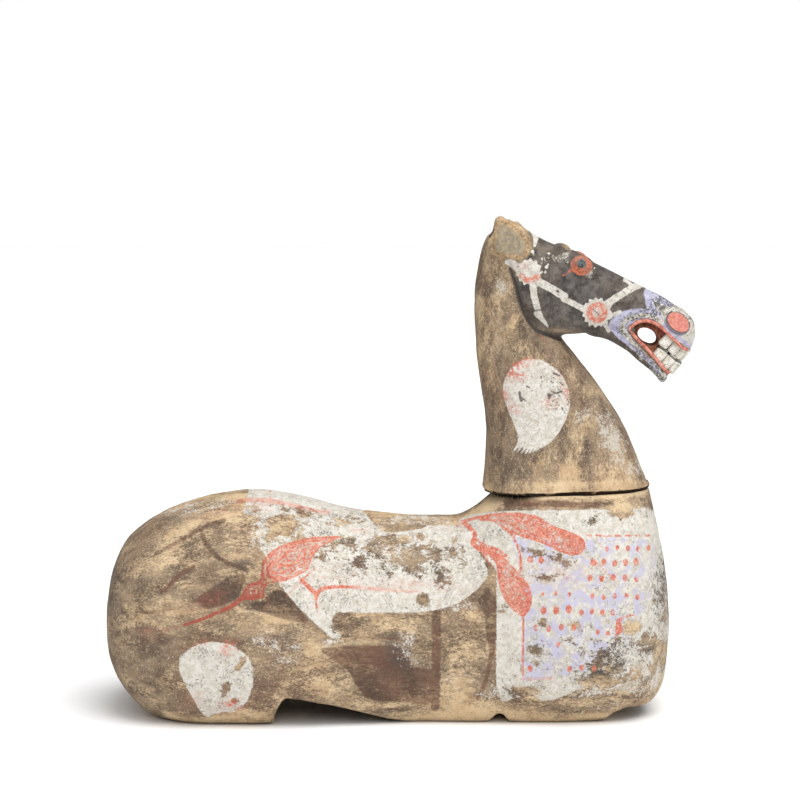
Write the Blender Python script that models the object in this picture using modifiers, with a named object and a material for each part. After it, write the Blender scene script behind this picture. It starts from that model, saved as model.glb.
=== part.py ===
"""A painted pottery horse that lies on its belly: a legless trunk, with a head and neck resting on it.

X runs from rump to muzzle, Y across the horse and Z up. The origin is under the middle of the whole
horse, on the floor. The two pieces are drawn on grids, so that each form is a share of its piece's size.
"""

import math

import bmesh
import bpy
import numpy as np
from mathutils import Matrix, Vector

# The trunk, in metres.
TRUNK_LENGTH = 0.631
TRUNK_HEIGHT = 0.250
TRUNK_WIDTH = 0.250

# The neck's foot stands this far above the seat, as the two fired pieces only touch.
SEAT_GAP = 0.0004

# The head and neck, one fired piece, in metres.
HEAD_PIECE_HEIGHT = 0.311
HEAD_PIECE_WIDTH = 0.140

# The grids that the two pieces are drawn on: how many units each size counts.
TRUNK_GRID = (631, 250, 250)
HEAD_GRID_HEIGHT = 311
HEAD_GRID_WIDTH = 140

# Where the middle of the neck's foot stands on the trunk, how high the seat lies and how far the muzzle
# reaches from there, in grid units.
SEAT_FROM_RUMP = 515
SEAT_LEVEL = 249.5
MUZZLE_FROM_SEAT = 142.9

HEAD_UNIT = HEAD_PIECE_HEIGHT / HEAD_GRID_HEIGHT
TRUNK_UNIT = TRUNK_LENGTH / TRUNK_GRID[0]
WHOLE_LENGTH = SEAT_FROM_RUMP * TRUNK_UNIT + MUZZLE_FROM_SEAT * HEAD_UNIT
RUMP_X = -WHOLE_LENGTH / 2
SEAT_X = RUMP_X + SEAT_FROM_RUMP * TRUNK_UNIT
SEAT_HEIGHT = TRUNK_HEIGHT * SEAT_LEVEL / TRUNK_GRID[2]

# Each station of a loft: its upper point (x, z), its lower point (x, z) and its half width. A form is
# widest at a share of the way up, and its upper and lower halves have a squareness each, 2 being round.
# The trunk's x counts from the rump, its z from the floor. A point below 0 is cut off flat there.
TRUNK_STATIONS = (
    ((0, 106), (0, 106), 0),
    ((3, 146), (3, 68), 50),
    ((16, 184), (14, 38), 78),
    ((40, 210), (34, 14), 99),
    ((76, 230), (63, -3), 113),
    ((121, 244), (102, -12), 122),
    ((172, 249), (150, -13), 125),
    ((222, 241), (202, -13), 120),
    ((272, 228), (258, -13), 110),
    ((325, 221), (315, -13), 103),
    ((368, 219.5), (365, -13), 101),
    ((402, 224), (405, -13), 103),
    ((438, 249), (442, -13), 107),
    ((480, 273), (480, -13), 111),
    ((530, 288), (520, -13), 113),
    ((575, 283), (558, -10), 108),
    ((603, 258), (588, 0), 95),
    ((619, 205), (610, 14), 74),
    ((628, 150), (624, 40), 46),
    ((631, 94), (631, 94), 0),
)
LOWEST_OF_BACK = 368
TRUNK_MESH = {"rings": 38, "around": 30}
TRUNK_WIDEST = 0.46
TRUNK_SQUARENESS = (2.1, 3.0)
FLANK_CREASE = {"x": 439, "half_width": 7, "depth": 4, "low": 0, "high": 140}

# The underside's hollows, as outlines that are cut through from side to side and end below the floor.
GROIN_OUTLINE = (
    (189, -30), (190, 4), (196, 20), (203, 31), (217, 33), (251, 25), (284, 15), (312, 6), (346, -1),
    (352, -30),
)
GIRTH_OUTLINE = ((429, -30), (430, 3), (434, 10), (439, 14), (444, 10), (448, 3), (450, -30))
BRISKET_OUTLINE = ((556, -30), (557, 3), (564, 11), (578, 17), (602, 16), (618, 22), (640, 34), (660, -30))
HOLLOW_BETWEEN_LEGS = {
    "hind": {"from_x": 60, "to_x": 215, "half_width": 26, "height": 27},
    "fore": {"from_x": 442, "to_x": 590, "half_width": 22, "height": 18},
}

# The head and neck's x counts from the middle of the neck's foot, its z from the seat.
NECK_STATIONS = (
    ((0, -52), (0, -52), 0),
    ((-92, -30), (98, -30), 68),
    ((-94, 0), (94, 0), 70),
    ((-91, 34), (81, 34), 62),
    ((-90, 74), (65, 72), 54),
    ((-95, 112), (41, 110), 47),
    ((-100, 150), (14, 147), 41),
    ((-103, 190), (-10, 178), 35.5),
    ((-103, 226), (-24, 212), 32.5),
    ((-98, 258), (-30, 248), 31.5),
    ((-90, 284), (-36, 277), 28),
    ((-80, 298), (-50, 294), 18),
    ((-66, 302), (-66, 302), 0),
)
SKULL_STATIONS = (
    ((-76, 284), (-76, 284), 0),
    ((-70, 303), (-69, 264), 30),
    ((-54, 297), (-63, 240), 38.5),
    ((-33, 284), (-57, 213), 42.5),
    ((-11, 274), (-42, 188), 44),
    ((11, 265.5), (-21, 177), 44),
    ((31, 255), (3, 176.5), 41),
    ((50, 245.5), (30, 179), 37),
    ((70, 235.5), (54, 184), 33),
    ((90, 226), (75, 190), 30),
    ((108, 216.5), (92, 193), 28.5),
    ((125, 204), (110, 181), 28),
    ((137, 193), (123, 169), 26),
    ((143, 181), (133, 160), 19),
    ((139, 161), (139, 161), 0),
)
JAW_STATIONS = (
    ((18, 189), (18, 189), 0),
    ((36, 192), (22, 176), 20),
    ((55, 187), (39, 172), 25),
    ((69, 180), (55, 165), 25.5),
    ((79, 171), (69, 156), 24.5),
    ((88, 161), (80, 146), 23),
    ((98, 150), (91, 137), 21),
    ((106, 142), (98, 130), 20),
    ((113, 134), (105, 122), 17),
    ((111, 124), (111, 124), 0),
)
HEAD_MESH = {"rings": 48, "around": 40}
HEAD_WIDEST = 0.5
NECK_SQUARENESS = (2.4, 2.6)
SKULL_SQUARENESS = (2.4, 3.4)

# Forms on the head: (x, y, z) of the one side's, and the other side's follows by mirroring.
SOCKET = {"at": (11, 26.5, 251), "radii": (29, 12.5, 14.5), "tilt": 27}
EYEBALL = {"at": (13.3, 35, 257), "radii": (12, 8, 11), "tilt": 27}
PUPIL = {"at": (13.3, 41.5, 257.5), "radii": (5, 3.6, 5), "tilt": 0}
FOREHEAD_KNOB = {"at": (-5, 12, 272), "radii": (9, 8, 4.5), "tilt": 15}
POLL_KNOB = {"at": (-75, 0, 299.5), "radii": (6, 15, 8), "tilt": 0}
NOSE_WING = {"at": (122, 20, 190), "radii": (21, 10, 15), "tilt": 38}
EAR_STUMP = {"at": (-64, 31, 281), "radii": (20, 8.5, 20), "tilt": 30}
EAR_BREAK = {"at": (-64, 40.5, 281), "radii": (15, 16), "tilt": 30, "depth": 7}

# The lips run from the corner of the mouth to the middle of the front: (x, y, z).
LIP_RADIUS = 2.7
UPPER_LIP = (
    (67, 27, 184), (78, 27, 192), (92, 27, 192), (104, 26.5, 185), (116, 25.5, 173.5),
    (127, 22, 163), (134, 13, 159), (137, 0, 158.5),
)
LOWER_LIP = (
    (67, 27, 184), (76, 25, 173), (88, 23, 161), (99, 21.5, 148.5), (107, 19.5, 139),
    (112, 14.5, 134), (115, 7, 131.5), (116, 0, 131),
)
MOUTH_CORNER = {"at": (66, 23, 182), "radii": (10, 6.5, 9), "tilt": 0}
LIP_FLESH = {"radius": 5.5, "lift": 5.5, "inset": 3.5}
MOUTH_LINING = {"at": (88, 0, 174), "radii": (24, 17, 17), "tilt": 36}
MOUTH_HOLE = {"at": (89.4, 174), "radii": (12.8, 8.2), "tilt": 36}
NOSTRIL = {"at": (122.5, 31.5, 191.5), "radii": (14.2, 9.5), "tilt": 38, "depth": 7}
POLL_HOLE = {"at": (-93, 288), "radii": (9, 6), "half_width": 9}

# Each row of teeth is an arc round the front of the mouth, from its rear ends to its front.
UPPER_TEETH = {"rear": (103, 177), "reach": 36, "half_width": 20, "count": 8, "thick": 8, "tall": 16}
LOWER_TEETH = {"rear": (96, 160), "reach": 32.5, "half_width": 17.5, "count": 7, "thick": 8, "tall": 15}
TEETH_FALL = 40
TOOTH_GAP = 0.6
TOOTH_ROUNDING = 2.2
GUM_SHARE = 0.84

# How finely the clay is meshed, in metres, the share of the faces that stays, and a round form's sides.
CLAY_VOXEL = 0.0018
CLAY_SMOOTHING = 3
CLAY_KEPT = 0.031
ROUND_SIDES = 32
LUMP_SIDES = 24
SHARP_FROM_DEG = 40

CLAY_BROWN = (0.30, 0.21, 0.14)
FACE_GREY = (0.20, 0.17, 0.15)
CUT_MARGIN = 0.05
SIDES = (-1, 1)


def clear_scene():
    for thing in list(bpy.data.objects):
        bpy.data.objects.remove(thing, do_unlink=True)


def new_collection(name):
    collection = bpy.data.collections.new(name)
    bpy.context.scene.collection.children.link(collection)
    return collection


def add_object(name, data, collection):
    made = bpy.data.objects.new(name, data)
    collection.objects.link(made)
    return made


def as_helper(thing):
    """A cutter or a lump shows as wire and is no piece of the horse."""
    thing.display_type = "WIRE"
    thing.hide_render = True
    return thing


def material(name, colour, roughness):
    made = bpy.data.materials.new(name)
    made.use_nodes = True
    shader = made.node_tree.nodes["Principled BSDF"]
    shader.inputs["Base Color"].default_value = (*colour, 1)
    shader.inputs["Roughness"].default_value = roughness
    shader.inputs["Metallic"].default_value = 0
    made.diffuse_color = (*colour, 1)
    return made


def curve_at(points, places):
    """Values at places along a smooth closed curve through points, a whole number being a point."""
    points = np.asarray(points, float)
    start = np.floor(places).astype(int)
    t = (places - start)[:, None]
    before, here, after, beyond = (points[(start + step) % len(points)] for step in (-1, 0, 1, 2))
    return 0.5 * (
        2 * here
        + (after - before) * t
        + (2 * before - 5 * here + 4 * after - beyond) * t**2
        + (3 * here - before - 3 * after + beyond) * t**3
    )


def loft_rings(stations, rings, around, widest, squareness):
    """Rings of as many points as around says through a loft's stations, without the two end points."""
    uppers = [(*upper, width) for upper, lower, width in stations]
    lowers = [(*lower, -width) for upper, lower, width in stations[1:-1]]
    closed = uppers + lowers[::-1]
    places = np.linspace(0, len(stations) - 1, rings + 2)[1:-1]
    upper = curve_at(closed, places)
    lower = curve_at(closed, len(closed) - places)
    top, bottom, width = upper[:, :2], lower[:, :2], upper[:, 2]
    middle = bottom + (top - bottom) * widest
    turn = np.arange(around) * (2 * math.pi / around)
    cosine, sine = np.cos(turn), np.sin(turn)
    power = np.where(cosine > 0, 2 / squareness[0], 2 / squareness[1])
    up = np.sign(cosine) * np.abs(cosine) ** power
    out = np.sign(sine) * np.abs(sine) ** power
    reach = np.where(cosine[None, :, None] > 0, (top - middle)[:, None], (middle - bottom)[:, None])
    flat = middle[:, None] + reach * up[None, :, None]
    across = width[:, None] * out[None, :]
    return np.stack([flat[:, :, 0], across, flat[:, :, 1]], axis=2)


def loft(name, stations, mesh_size, widest, squareness, to_place, collection, shaped=None):
    """A closed form through the stations. to_place turns grid points into metres."""
    rings, around = mesh_size["rings"], mesh_size["around"]
    rows = loft_rings(stations, rings, around, widest, squareness)
    if shaped:
        rows = shaped(rows)
    first, last = ((*stations[end][0], 0) for end in (0, -1))
    points = [(first[0], 0, first[1]), *rows.reshape(-1, 3), (last[0], 0, last[1])]
    form = bmesh.new()
    verts = [form.verts.new(to_place(point)) for point in points]
    ring = [verts[1 + row * around : 1 + (row + 1) * around] for row in range(rings)]
    for j in range(around):
        k = (j + 1) % around
        form.faces.new((verts[0], ring[0][j], ring[0][k]))
        form.faces.new((verts[-1], ring[-1][k], ring[-1][j]))
        for row in range(rings - 1):
            form.faces.new((ring[row][j], ring[row + 1][j], ring[row + 1][k], ring[row][k]))
    bmesh.ops.recalc_face_normals(form, faces=form.faces)
    mesh = bpy.data.meshes.new(name)
    form.to_mesh(mesh)
    form.free()
    return add_object(name, mesh, collection)


def trunk_place(point):
    """A point of the trunk's grid, in metres."""
    x, y, z = point
    return Vector((
        RUMP_X + x * TRUNK_UNIT,
        y * TRUNK_WIDTH / TRUNK_GRID[1],
        z * TRUNK_HEIGHT / TRUNK_GRID[2],
    ))


def head_place(point):
    """A point of the head piece's grid, in metres."""
    x, y, z = point
    across = y * HEAD_PIECE_WIDTH / HEAD_GRID_WIDTH
    return Vector((SEAT_X + x * HEAD_UNIT, across, SEAT_HEIGHT + z * HEAD_UNIT))


def with_flank_crease(rows):
    """The trunk's rings with the shallow upright groove between belly and shoulder."""
    crease = FLANK_CREASE
    x, y, z = rows[:, :, 0], rows[:, :, 1], rows[:, :, 2]
    near = np.exp(-(((x - crease["x"]) / crease["half_width"]) ** 2))
    height = np.clip((z - crease["low"]) / (crease["high"] - crease["low"]), 0, 1)
    side = np.abs(y) / np.abs(y).max()
    rows[:, :, 1] = y - np.sign(y) * crease["depth"] * near * (1 - height**2) * side
    return rows


def extruded(name, outline, to_place, half_width, collection):
    """A closed outline in the side view, filled and drawn out to both sides."""
    curve = bpy.data.curves.new(name, "CURVE")
    curve.dimensions = "2D"
    curve.fill_mode = "BOTH"
    curve.extrude = half_width
    spline = curve.splines.new("POLY")
    spline.points.add(len(outline) - 1)
    for point, (x, z) in zip(spline.points, outline):
        placed = to_place((x, 0, z))
        point.co = (placed.x, placed.z, 0, 1)
    spline.use_cyclic_u = True
    made = add_object(name, curve, collection)
    made.rotation_euler = (math.pi / 2, 0, 0)
    return as_mesh(made)


def as_mesh(thing):
    """The object's evaluated shape as a mesh of its own, with a curve's loose caps welded on."""
    bpy.context.view_layer.update()
    evaluated = thing.evaluated_get(bpy.context.evaluated_depsgraph_get())
    mesh = bpy.data.meshes.new_from_object(evaluated)
    name, place, collection = thing.name, thing.matrix_world.copy(), thing.users_collection[0]
    bpy.data.objects.remove(thing, do_unlink=True)
    form = bmesh.new()
    form.from_mesh(mesh)
    bmesh.ops.remove_doubles(form, verts=form.verts, dist=1e-6)
    bmesh.ops.recalc_face_normals(form, faces=form.faces)
    form.to_mesh(mesh)
    form.free()
    made = add_object(name, mesh, collection)
    made.matrix_world = place
    return made


def combine(thing, name, cutter, operation="DIFFERENCE"):
    modifier = thing.modifiers.new(name, "BOOLEAN")
    modifier.operation = operation
    modifier.object = as_helper(cutter)


def box(name, low, high, collection):
    form = bmesh.new()
    bmesh.ops.create_cube(form, size=1)
    mesh = bpy.data.meshes.new(name)
    form.to_mesh(mesh)
    form.free()
    made = add_object(name, mesh, collection)
    made.location = (Vector(low) + Vector(high)) / 2
    made.scale = Vector(high) - Vector(low)
    return made


def shaped_solid(name, form, placed, collection):
    """An object from a bmesh whose points placed() puts in the world."""
    for vert in form.verts:
        vert.co = placed(vert.co)
    bmesh.ops.recalc_face_normals(form, faces=form.faces)
    mesh = bpy.data.meshes.new(name)
    form.to_mesh(mesh)
    form.free()
    return add_object(name, mesh, collection)


def round_solid(name, segments, to_place, at, radii, tilt, collection, tall=None):
    """An ellipsoid, or an elliptic cylinder along Y where tall is given, on the grid of to_place."""
    form = bmesh.new()
    if tall is None:
        bmesh.ops.create_uvsphere(form, u_segments=segments, v_segments=segments // 2, radius=1)
        size = radii
    else:
        bmesh.ops.create_cone(
            form, segments=segments, radius1=1, radius2=1, depth=1, cap_ends=True,
            matrix=Matrix.Rotation(math.pi / 2, 4, "X"),
        )
        size = (radii[0], tall, radii[1])
    shape = Matrix.Rotation(math.radians(tilt), 4, "Y") @ Matrix.Diagonal((*size, 1))
    return shaped_solid(name, form, lambda co: to_place(shape @ co + Vector(at)), collection)


def lump(name, form, side, collection):
    x, y, z = form["at"]
    at = (x, side * y, z)
    return round_solid(name, LUMP_SIDES, head_place, at, form["radii"], form["tilt"], collection)


def tube(name, points, radius, collection):
    """A round strand of clay along points of the head's grid."""
    curve = bpy.data.curves.new(name, "CURVE")
    curve.dimensions = "3D"
    curve.bevel_depth = radius * HEAD_UNIT
    curve.bevel_resolution = 2
    curve.resolution_u = 6
    curve.use_fill_caps = True
    spline = curve.splines.new("BEZIER")
    spline.bezier_points.add(len(points) - 1)
    for knot, point in zip(spline.bezier_points, points):
        knot.co = head_place(point)
        knot.handle_left_type = knot.handle_right_type = "AUTO"
    return as_mesh(add_object(name, curve, collection))


def on_side(points, side):
    return [(x, side * y, z) for x, y, z in points]


def lip_flesh_path():
    """The upper lip's own thickness lies above and behind its edge."""
    return [(x, max(y - LIP_FLESH["inset"], 0), z + LIP_FLESH["lift"]) for x, y, z in UPPER_LIP]


def both_sides(points):
    """A strand that runs from one side round the front to the other."""
    return on_side(points, -1) + on_side(points, 1)[-2::-1]


def teeth(name, row, collection):
    """A row of teeth on the arc round the front of the mouth, with the gum that they stand on."""
    fall = math.radians(-TEETH_FALL)
    forward = Vector((math.cos(fall), 0, math.sin(fall)))
    upright = Vector((-math.sin(fall), 0, math.cos(fall)))
    rear = Vector((row["rear"][0], 0, row["rear"][1]))
    step = math.pi / row["count"]

    def on_arc(turn):
        sideways = Vector((0, row["half_width"] * math.sin(turn), 0))
        return rear + forward * row["reach"] * math.cos(turn) + sideways

    made = []
    for number in range(row["count"]):
        turn = step * (number + 0.5) - math.pi / 2
        along = on_arc(turn + step / 2) - on_arc(turn - step / 2)
        size = (along.length - TOOTH_GAP, row["thick"], row["tall"])
        axes = Matrix((along.normalized(), upright.cross(along).normalized(), upright)).transposed()
        tooth = bmesh.new()
        bmesh.ops.create_cube(tooth, size=1)
        bmesh.ops.scale(tooth, vec=size, verts=tooth.verts)
        bmesh.ops.bevel(
            tooth, geom=tooth.edges, offset=TOOTH_ROUNDING, segments=2, profile=0.5, affect="EDGES",
        )
        centre = on_arc(turn)
        made.append(shaped_solid(
            f"{name}_{number}", tooth, lambda co: head_place(centre + axes @ co), collection,
        ))
    gum = bmesh.new()
    bmesh.ops.create_cone(gum, segments=LUMP_SIDES, radius1=1, radius2=1, depth=1, cap_ends=True)
    size = Matrix.Diagonal((row["reach"] * GUM_SHARE, row["half_width"] * GUM_SHARE, row["tall"]))
    axes = Matrix((forward, (0, 1, 0), upright)).transposed() @ size
    made.append(shaped_solid(f"{name}_gum", gum, lambda co: head_place(rear + axes @ co), collection))
    return made


def joined(name, lumps, collection):
    """One mesh that holds every lump, still as separate closed shells."""
    form = bmesh.new()
    for thing in lumps:
        thing.data.transform(thing.matrix_basis)
        form.from_mesh(thing.data)
        bpy.data.objects.remove(thing, do_unlink=True)
    mesh = bpy.data.meshes.new(name)
    form.to_mesh(mesh)
    form.free()
    return add_object(name, mesh, collection)


def as_one_clay(thing):
    """Melts the shells into one body, as a modeller smooths added clay into the form."""
    remesh = thing.modifiers.new("one_clay", "REMESH")
    remesh.mode = "VOXEL"
    remesh.voxel_size = CLAY_VOXEL
    smooth = thing.modifiers.new("smoothed_by_hand", "SMOOTH")
    smooth.iterations = CLAY_SMOOTHING
    fewer = thing.modifiers.new("fewer_faces", "DECIMATE")
    fewer.ratio = CLAY_KEPT


def shade(thing):
    for face in thing.data.polygons:
        face.use_smooth = True
    thing.data.set_sharp_from_angle(angle=math.radians(SHARP_FROM_DEG))


def make_trunk(horse, helpers):
    trunk = loft(
        "trunk", TRUNK_STATIONS, TRUNK_MESH, TRUNK_WIDEST, TRUNK_SQUARENESS, trunk_place, horse,
        with_flank_crease,
    )
    width = TRUNK_WIDTH / 2 + CUT_MARGIN
    for name, outline in (("groin", GROIN_OUTLINE), ("girth", GIRTH_OUTLINE), ("brisket", BRISKET_OUTLINE)):
        combine(trunk, name, extruded(f"{name}_cutter", outline, trunk_place, width, helpers))
    for name, hollow in HOLLOW_BETWEEN_LEGS.items():
        middle = (hollow["from_x"] + hollow["to_x"]) / 2
        radii = ((hollow["to_x"] - hollow["from_x"]) / 2, hollow["half_width"], hollow["height"])
        combine(trunk, name, round_solid(
            f"{name}_hollow_cutter", ROUND_SIDES, trunk_place, (middle, 0, 0), radii, 0, helpers,
        ))
    reach = TRUNK_LENGTH / 2 + CUT_MARGIN
    centre = RUMP_X + TRUNK_LENGTH / 2
    far = (centre - reach, -width), (centre + reach, width)
    combine(trunk, "floor", box("floor_cutter", (*far[0], -CUT_MARGIN), (*far[1], 0), helpers))
    top = SEAT_HEIGHT + CUT_MARGIN
    seat_rear = RUMP_X + LOWEST_OF_BACK * TRUNK_UNIT
    above_seat = (seat_rear, -width, SEAT_HEIGHT), (far[1][0], width, top)
    combine(trunk, "seat", box("seat_cutter", *above_seat, helpers))
    trunk.data.materials.append(material("trunk_clay", CLAY_BROWN, 0.85))
    shade(trunk)


def make_head_piece(horse, helpers):
    lumps = [
        loft("neck", NECK_STATIONS, HEAD_MESH, HEAD_WIDEST, NECK_SQUARENESS, head_place, helpers),
        loft("skull", SKULL_STATIONS, HEAD_MESH, HEAD_WIDEST, SKULL_SQUARENESS, head_place, helpers),
        loft("jaw", JAW_STATIONS, HEAD_MESH, HEAD_WIDEST, SKULL_SQUARENESS, head_place, helpers),
        tube("upper_lip", both_sides(UPPER_LIP), LIP_RADIUS, helpers),
        tube("upper_lip_flesh", both_sides(lip_flesh_path()), LIP_FLESH["radius"], helpers),
        tube("lower_lip", both_sides(LOWER_LIP), LIP_RADIUS, helpers),
        lump("mouth_lining", MOUTH_LINING, 1, helpers),
        lump("poll_knob", POLL_KNOB, 1, helpers),
        *teeth("upper_tooth", UPPER_TEETH, helpers),
        *teeth("lower_tooth", LOWER_TEETH, helpers),
    ]
    paired = {
        "mouth_corner": MOUTH_CORNER, "socket": SOCKET, "ear_stump": EAR_STUMP,
        "forehead_knob": FOREHEAD_KNOB, "nose_wing": NOSE_WING,
    }
    for side in SIDES:
        lumps += [lump(f"{name}_{side}", form, side, helpers) for name, form in paired.items()]
    head = joined("head_and_neck", lumps, horse)
    as_one_clay(head)
    for side in SIDES:
        for name, form in (("eyeball", EYEBALL), ("pupil", PUPIL)):
            combine(head, f"{name}_{side}", lump(f"{name}_{side}", form, side, helpers), "UNION")
        for name, hollow in (("nostril", NOSTRIL), ("ear_break", EAR_BREAK)):
            x, y, z = hollow["at"]
            combine(head, f"{name}_{side}", round_solid(
                f"{name}_cutter_{side}", ROUND_SIDES, head_place, (x, side * y, z), hollow["radii"],
                hollow["tilt"], helpers, hollow["depth"],
            ))
    for name, hole in (("mouth_hole", MOUTH_HOLE), ("poll_hole", POLL_HOLE)):
        reach = hole.get("half_width", HEAD_GRID_WIDTH / 2)
        combine(head, name, round_solid(
            f"{name}_cutter", ROUND_SIDES, head_place, (hole["at"][0], 0, hole["at"][1]), hole["radii"],
            hole.get("tilt", 0), helpers, 2 * reach,
        ))
    low = Vector((SEAT_X - HEAD_PIECE_HEIGHT, -HEAD_PIECE_WIDTH, SEAT_HEIGHT - HEAD_PIECE_HEIGHT))
    high = Vector((SEAT_X + HEAD_PIECE_HEIGHT, HEAD_PIECE_WIDTH, SEAT_HEIGHT + SEAT_GAP))
    combine(head, "foot", box("foot_cutter", low, high, helpers))
    head.data.materials.append(material("head_clay", FACE_GREY, 0.8))
    shade(head)


def main():
    clear_scene()
    horse = new_collection("pottery_horse")
    helpers = new_collection("cutters_and_lumps")
    make_trunk(horse, helpers)
    make_head_piece(horse, helpers)


main()
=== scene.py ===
"""The looks of a painted pottery horse that lies on its belly: fine clay forms, paint, wear and light.

The forms are drawn on the same two grids as the solids. The paint is placed on a side plan that counts in
pixels of the photograph, and the far side of the horse mirrors the near one.
"""

import math

import bmesh
import bpy
import numpy as np
from mathutils import Matrix, Vector, noise


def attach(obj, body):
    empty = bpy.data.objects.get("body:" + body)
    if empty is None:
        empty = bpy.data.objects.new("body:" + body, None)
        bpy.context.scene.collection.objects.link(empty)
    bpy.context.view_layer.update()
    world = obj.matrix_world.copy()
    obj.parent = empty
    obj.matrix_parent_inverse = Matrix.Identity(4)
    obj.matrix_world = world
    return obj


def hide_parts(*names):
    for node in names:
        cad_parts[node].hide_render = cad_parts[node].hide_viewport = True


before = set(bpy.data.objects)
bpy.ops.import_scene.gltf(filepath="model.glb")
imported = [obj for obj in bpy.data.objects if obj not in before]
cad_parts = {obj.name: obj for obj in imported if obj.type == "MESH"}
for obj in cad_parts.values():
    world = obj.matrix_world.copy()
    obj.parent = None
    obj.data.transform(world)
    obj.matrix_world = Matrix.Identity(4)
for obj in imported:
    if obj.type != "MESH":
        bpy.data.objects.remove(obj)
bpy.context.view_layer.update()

# The sizes that the two grids count, in metres.
TRUNK_LENGTH = 0.631
TRUNK_HEIGHT = 0.250
TRUNK_WIDTH = 0.250
HEAD_PIECE_HEIGHT = 0.311
HEAD_PIECE_WIDTH = 0.140
SEAT_GAP = 0.0004
TRUNK_GRID = (631, 250, 250)
HEAD_GRID_HEIGHT = 311
HEAD_GRID_WIDTH = 140
SEAT_FROM_RUMP = 515
SEAT_LEVEL = 249.5
MUZZLE_FROM_SEAT = 142.9
HEAD_UNIT = HEAD_PIECE_HEIGHT / HEAD_GRID_HEIGHT
TRUNK_UNIT = TRUNK_LENGTH / TRUNK_GRID[0]
RUMP_X = -(SEAT_FROM_RUMP * TRUNK_UNIT + MUZZLE_FROM_SEAT * HEAD_UNIT) / 2
SEAT_X = RUMP_X + SEAT_FROM_RUMP * TRUNK_UNIT
SEAT_HEIGHT = TRUNK_HEIGHT * SEAT_LEVEL / TRUNK_GRID[2]

# The stations of each loft: upper point (x, z), lower point (x, z) and half width.
TRUNK_STATIONS = (
    ((0, 106), (0, 106), 0),
    ((3, 146), (3, 68), 50),
    ((16, 184), (14, 38), 78),
    ((40, 210), (34, 14), 99),
    ((76, 230), (63, -3), 113),
    ((121, 244), (102, -12), 122),
    ((172, 249), (150, -13), 125),
    ((222, 241), (202, -13), 120),
    ((272, 228), (258, -13), 110),
    ((325, 221), (315, -13), 103),
    ((368, 219.5), (365, -13), 101),
    ((402, 224), (405, -13), 103),
    ((438, 249), (442, -13), 107),
    ((480, 273), (480, -13), 111),
    ((530, 288), (520, -13), 113),
    ((575, 283), (558, -10), 108),
    ((603, 258), (588, 0), 95),
    ((619, 205), (610, 14), 74),
    ((628, 150), (624, 40), 46),
    ((631, 94), (631, 94), 0),
)
NECK_STATIONS = (
    ((0, -52), (0, -52), 0),
    ((-92, -30), (98, -30), 68),
    ((-94, 0), (94, 0), 70),
    ((-91, 34), (81, 34), 62),
    ((-90, 74), (65, 72), 54),
    ((-95, 112), (41, 110), 47),
    ((-100, 150), (14, 147), 41),
    ((-103, 190), (-10, 178), 35.5),
    ((-103, 226), (-24, 212), 32.5),
    ((-98, 258), (-30, 248), 31.5),
    ((-90, 284), (-36, 277), 28),
    ((-80, 298), (-50, 294), 18),
    ((-66, 302), (-66, 302), 0),
)
SKULL_STATIONS = (
    ((-76, 284), (-76, 284), 0),
    ((-70, 303), (-69, 264), 30),
    ((-54, 297), (-63, 240), 38.5),
    ((-33, 284), (-57, 213), 42.5),
    ((-11, 274), (-42, 188), 44),
    ((11, 265.5), (-21, 177), 44),
    ((31, 255), (3, 176.5), 41),
    ((50, 245.5), (30, 179), 37),
    ((70, 235.5), (54, 184), 33),
    ((90, 226), (75, 190), 30),
    ((108, 216.5), (92, 193), 28.5),
    ((125, 204), (110, 181), 28),
    ((137, 193), (123, 169), 26),
    ((143, 181), (133, 160), 19),
    ((139, 161), (139, 161), 0),
)
JAW_STATIONS = (
    ((18, 189), (18, 189), 0),
    ((36, 192), (22, 176), 20),
    ((55, 187), (39, 172), 25),
    ((69, 180), (55, 165), 25.5),
    ((79, 171), (69, 156), 24.5),
    ((88, 161), (80, 146), 23),
    ((98, 150), (91, 137), 21),
    ((106, 142), (98, 130), 20),
    ((113, 134), (105, 122), 17),
    ((111, 124), (111, 124), 0),
)
LOWEST_OF_BACK = 368
TRUNK_MESH = {"rings": 150, "around": 110}
HEAD_MESH = {"rings": 90, "around": 72}
TRUNK_WIDEST = 0.46
HEAD_WIDEST = 0.5
TRUNK_SQUARENESS = (2.1, 3.0)
NECK_SQUARENESS = (2.4, 2.6)
SKULL_SQUARENESS = (2.4, 3.4)
FLANK_CREASE = {"x": 439, "half_width": 7, "depth": 4, "low": 0, "high": 140}

GROIN_OUTLINE = (
    (189, -30), (190, 4), (196, 20), (203, 31), (217, 33), (251, 25), (284, 15), (312, 6), (346, -1),
    (352, -30),
)
GIRTH_OUTLINE = ((429, -30), (430, 3), (434, 10), (439, 14), (444, 10), (448, 3), (450, -30))
BRISKET_OUTLINE = ((556, -30), (557, 3), (564, 11), (578, 17), (602, 16), (618, 22), (640, 34), (660, -30))
HOLLOW_BETWEEN_LEGS = {
    "hind": {"from_x": 60, "to_x": 215, "half_width": 26, "height": 27},
    "fore": {"from_x": 442, "to_x": 590, "half_width": 22, "height": 18},
}
# The seat rises a little towards the chest, and the neck's foot leaves an open joint above it. In metres.
SEAT_RISE = 0.005
JOINT_OPENING = {"rear": 0.0026, "front": 0.006}
FOOT_REACH = (0.094, 0.070)

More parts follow.
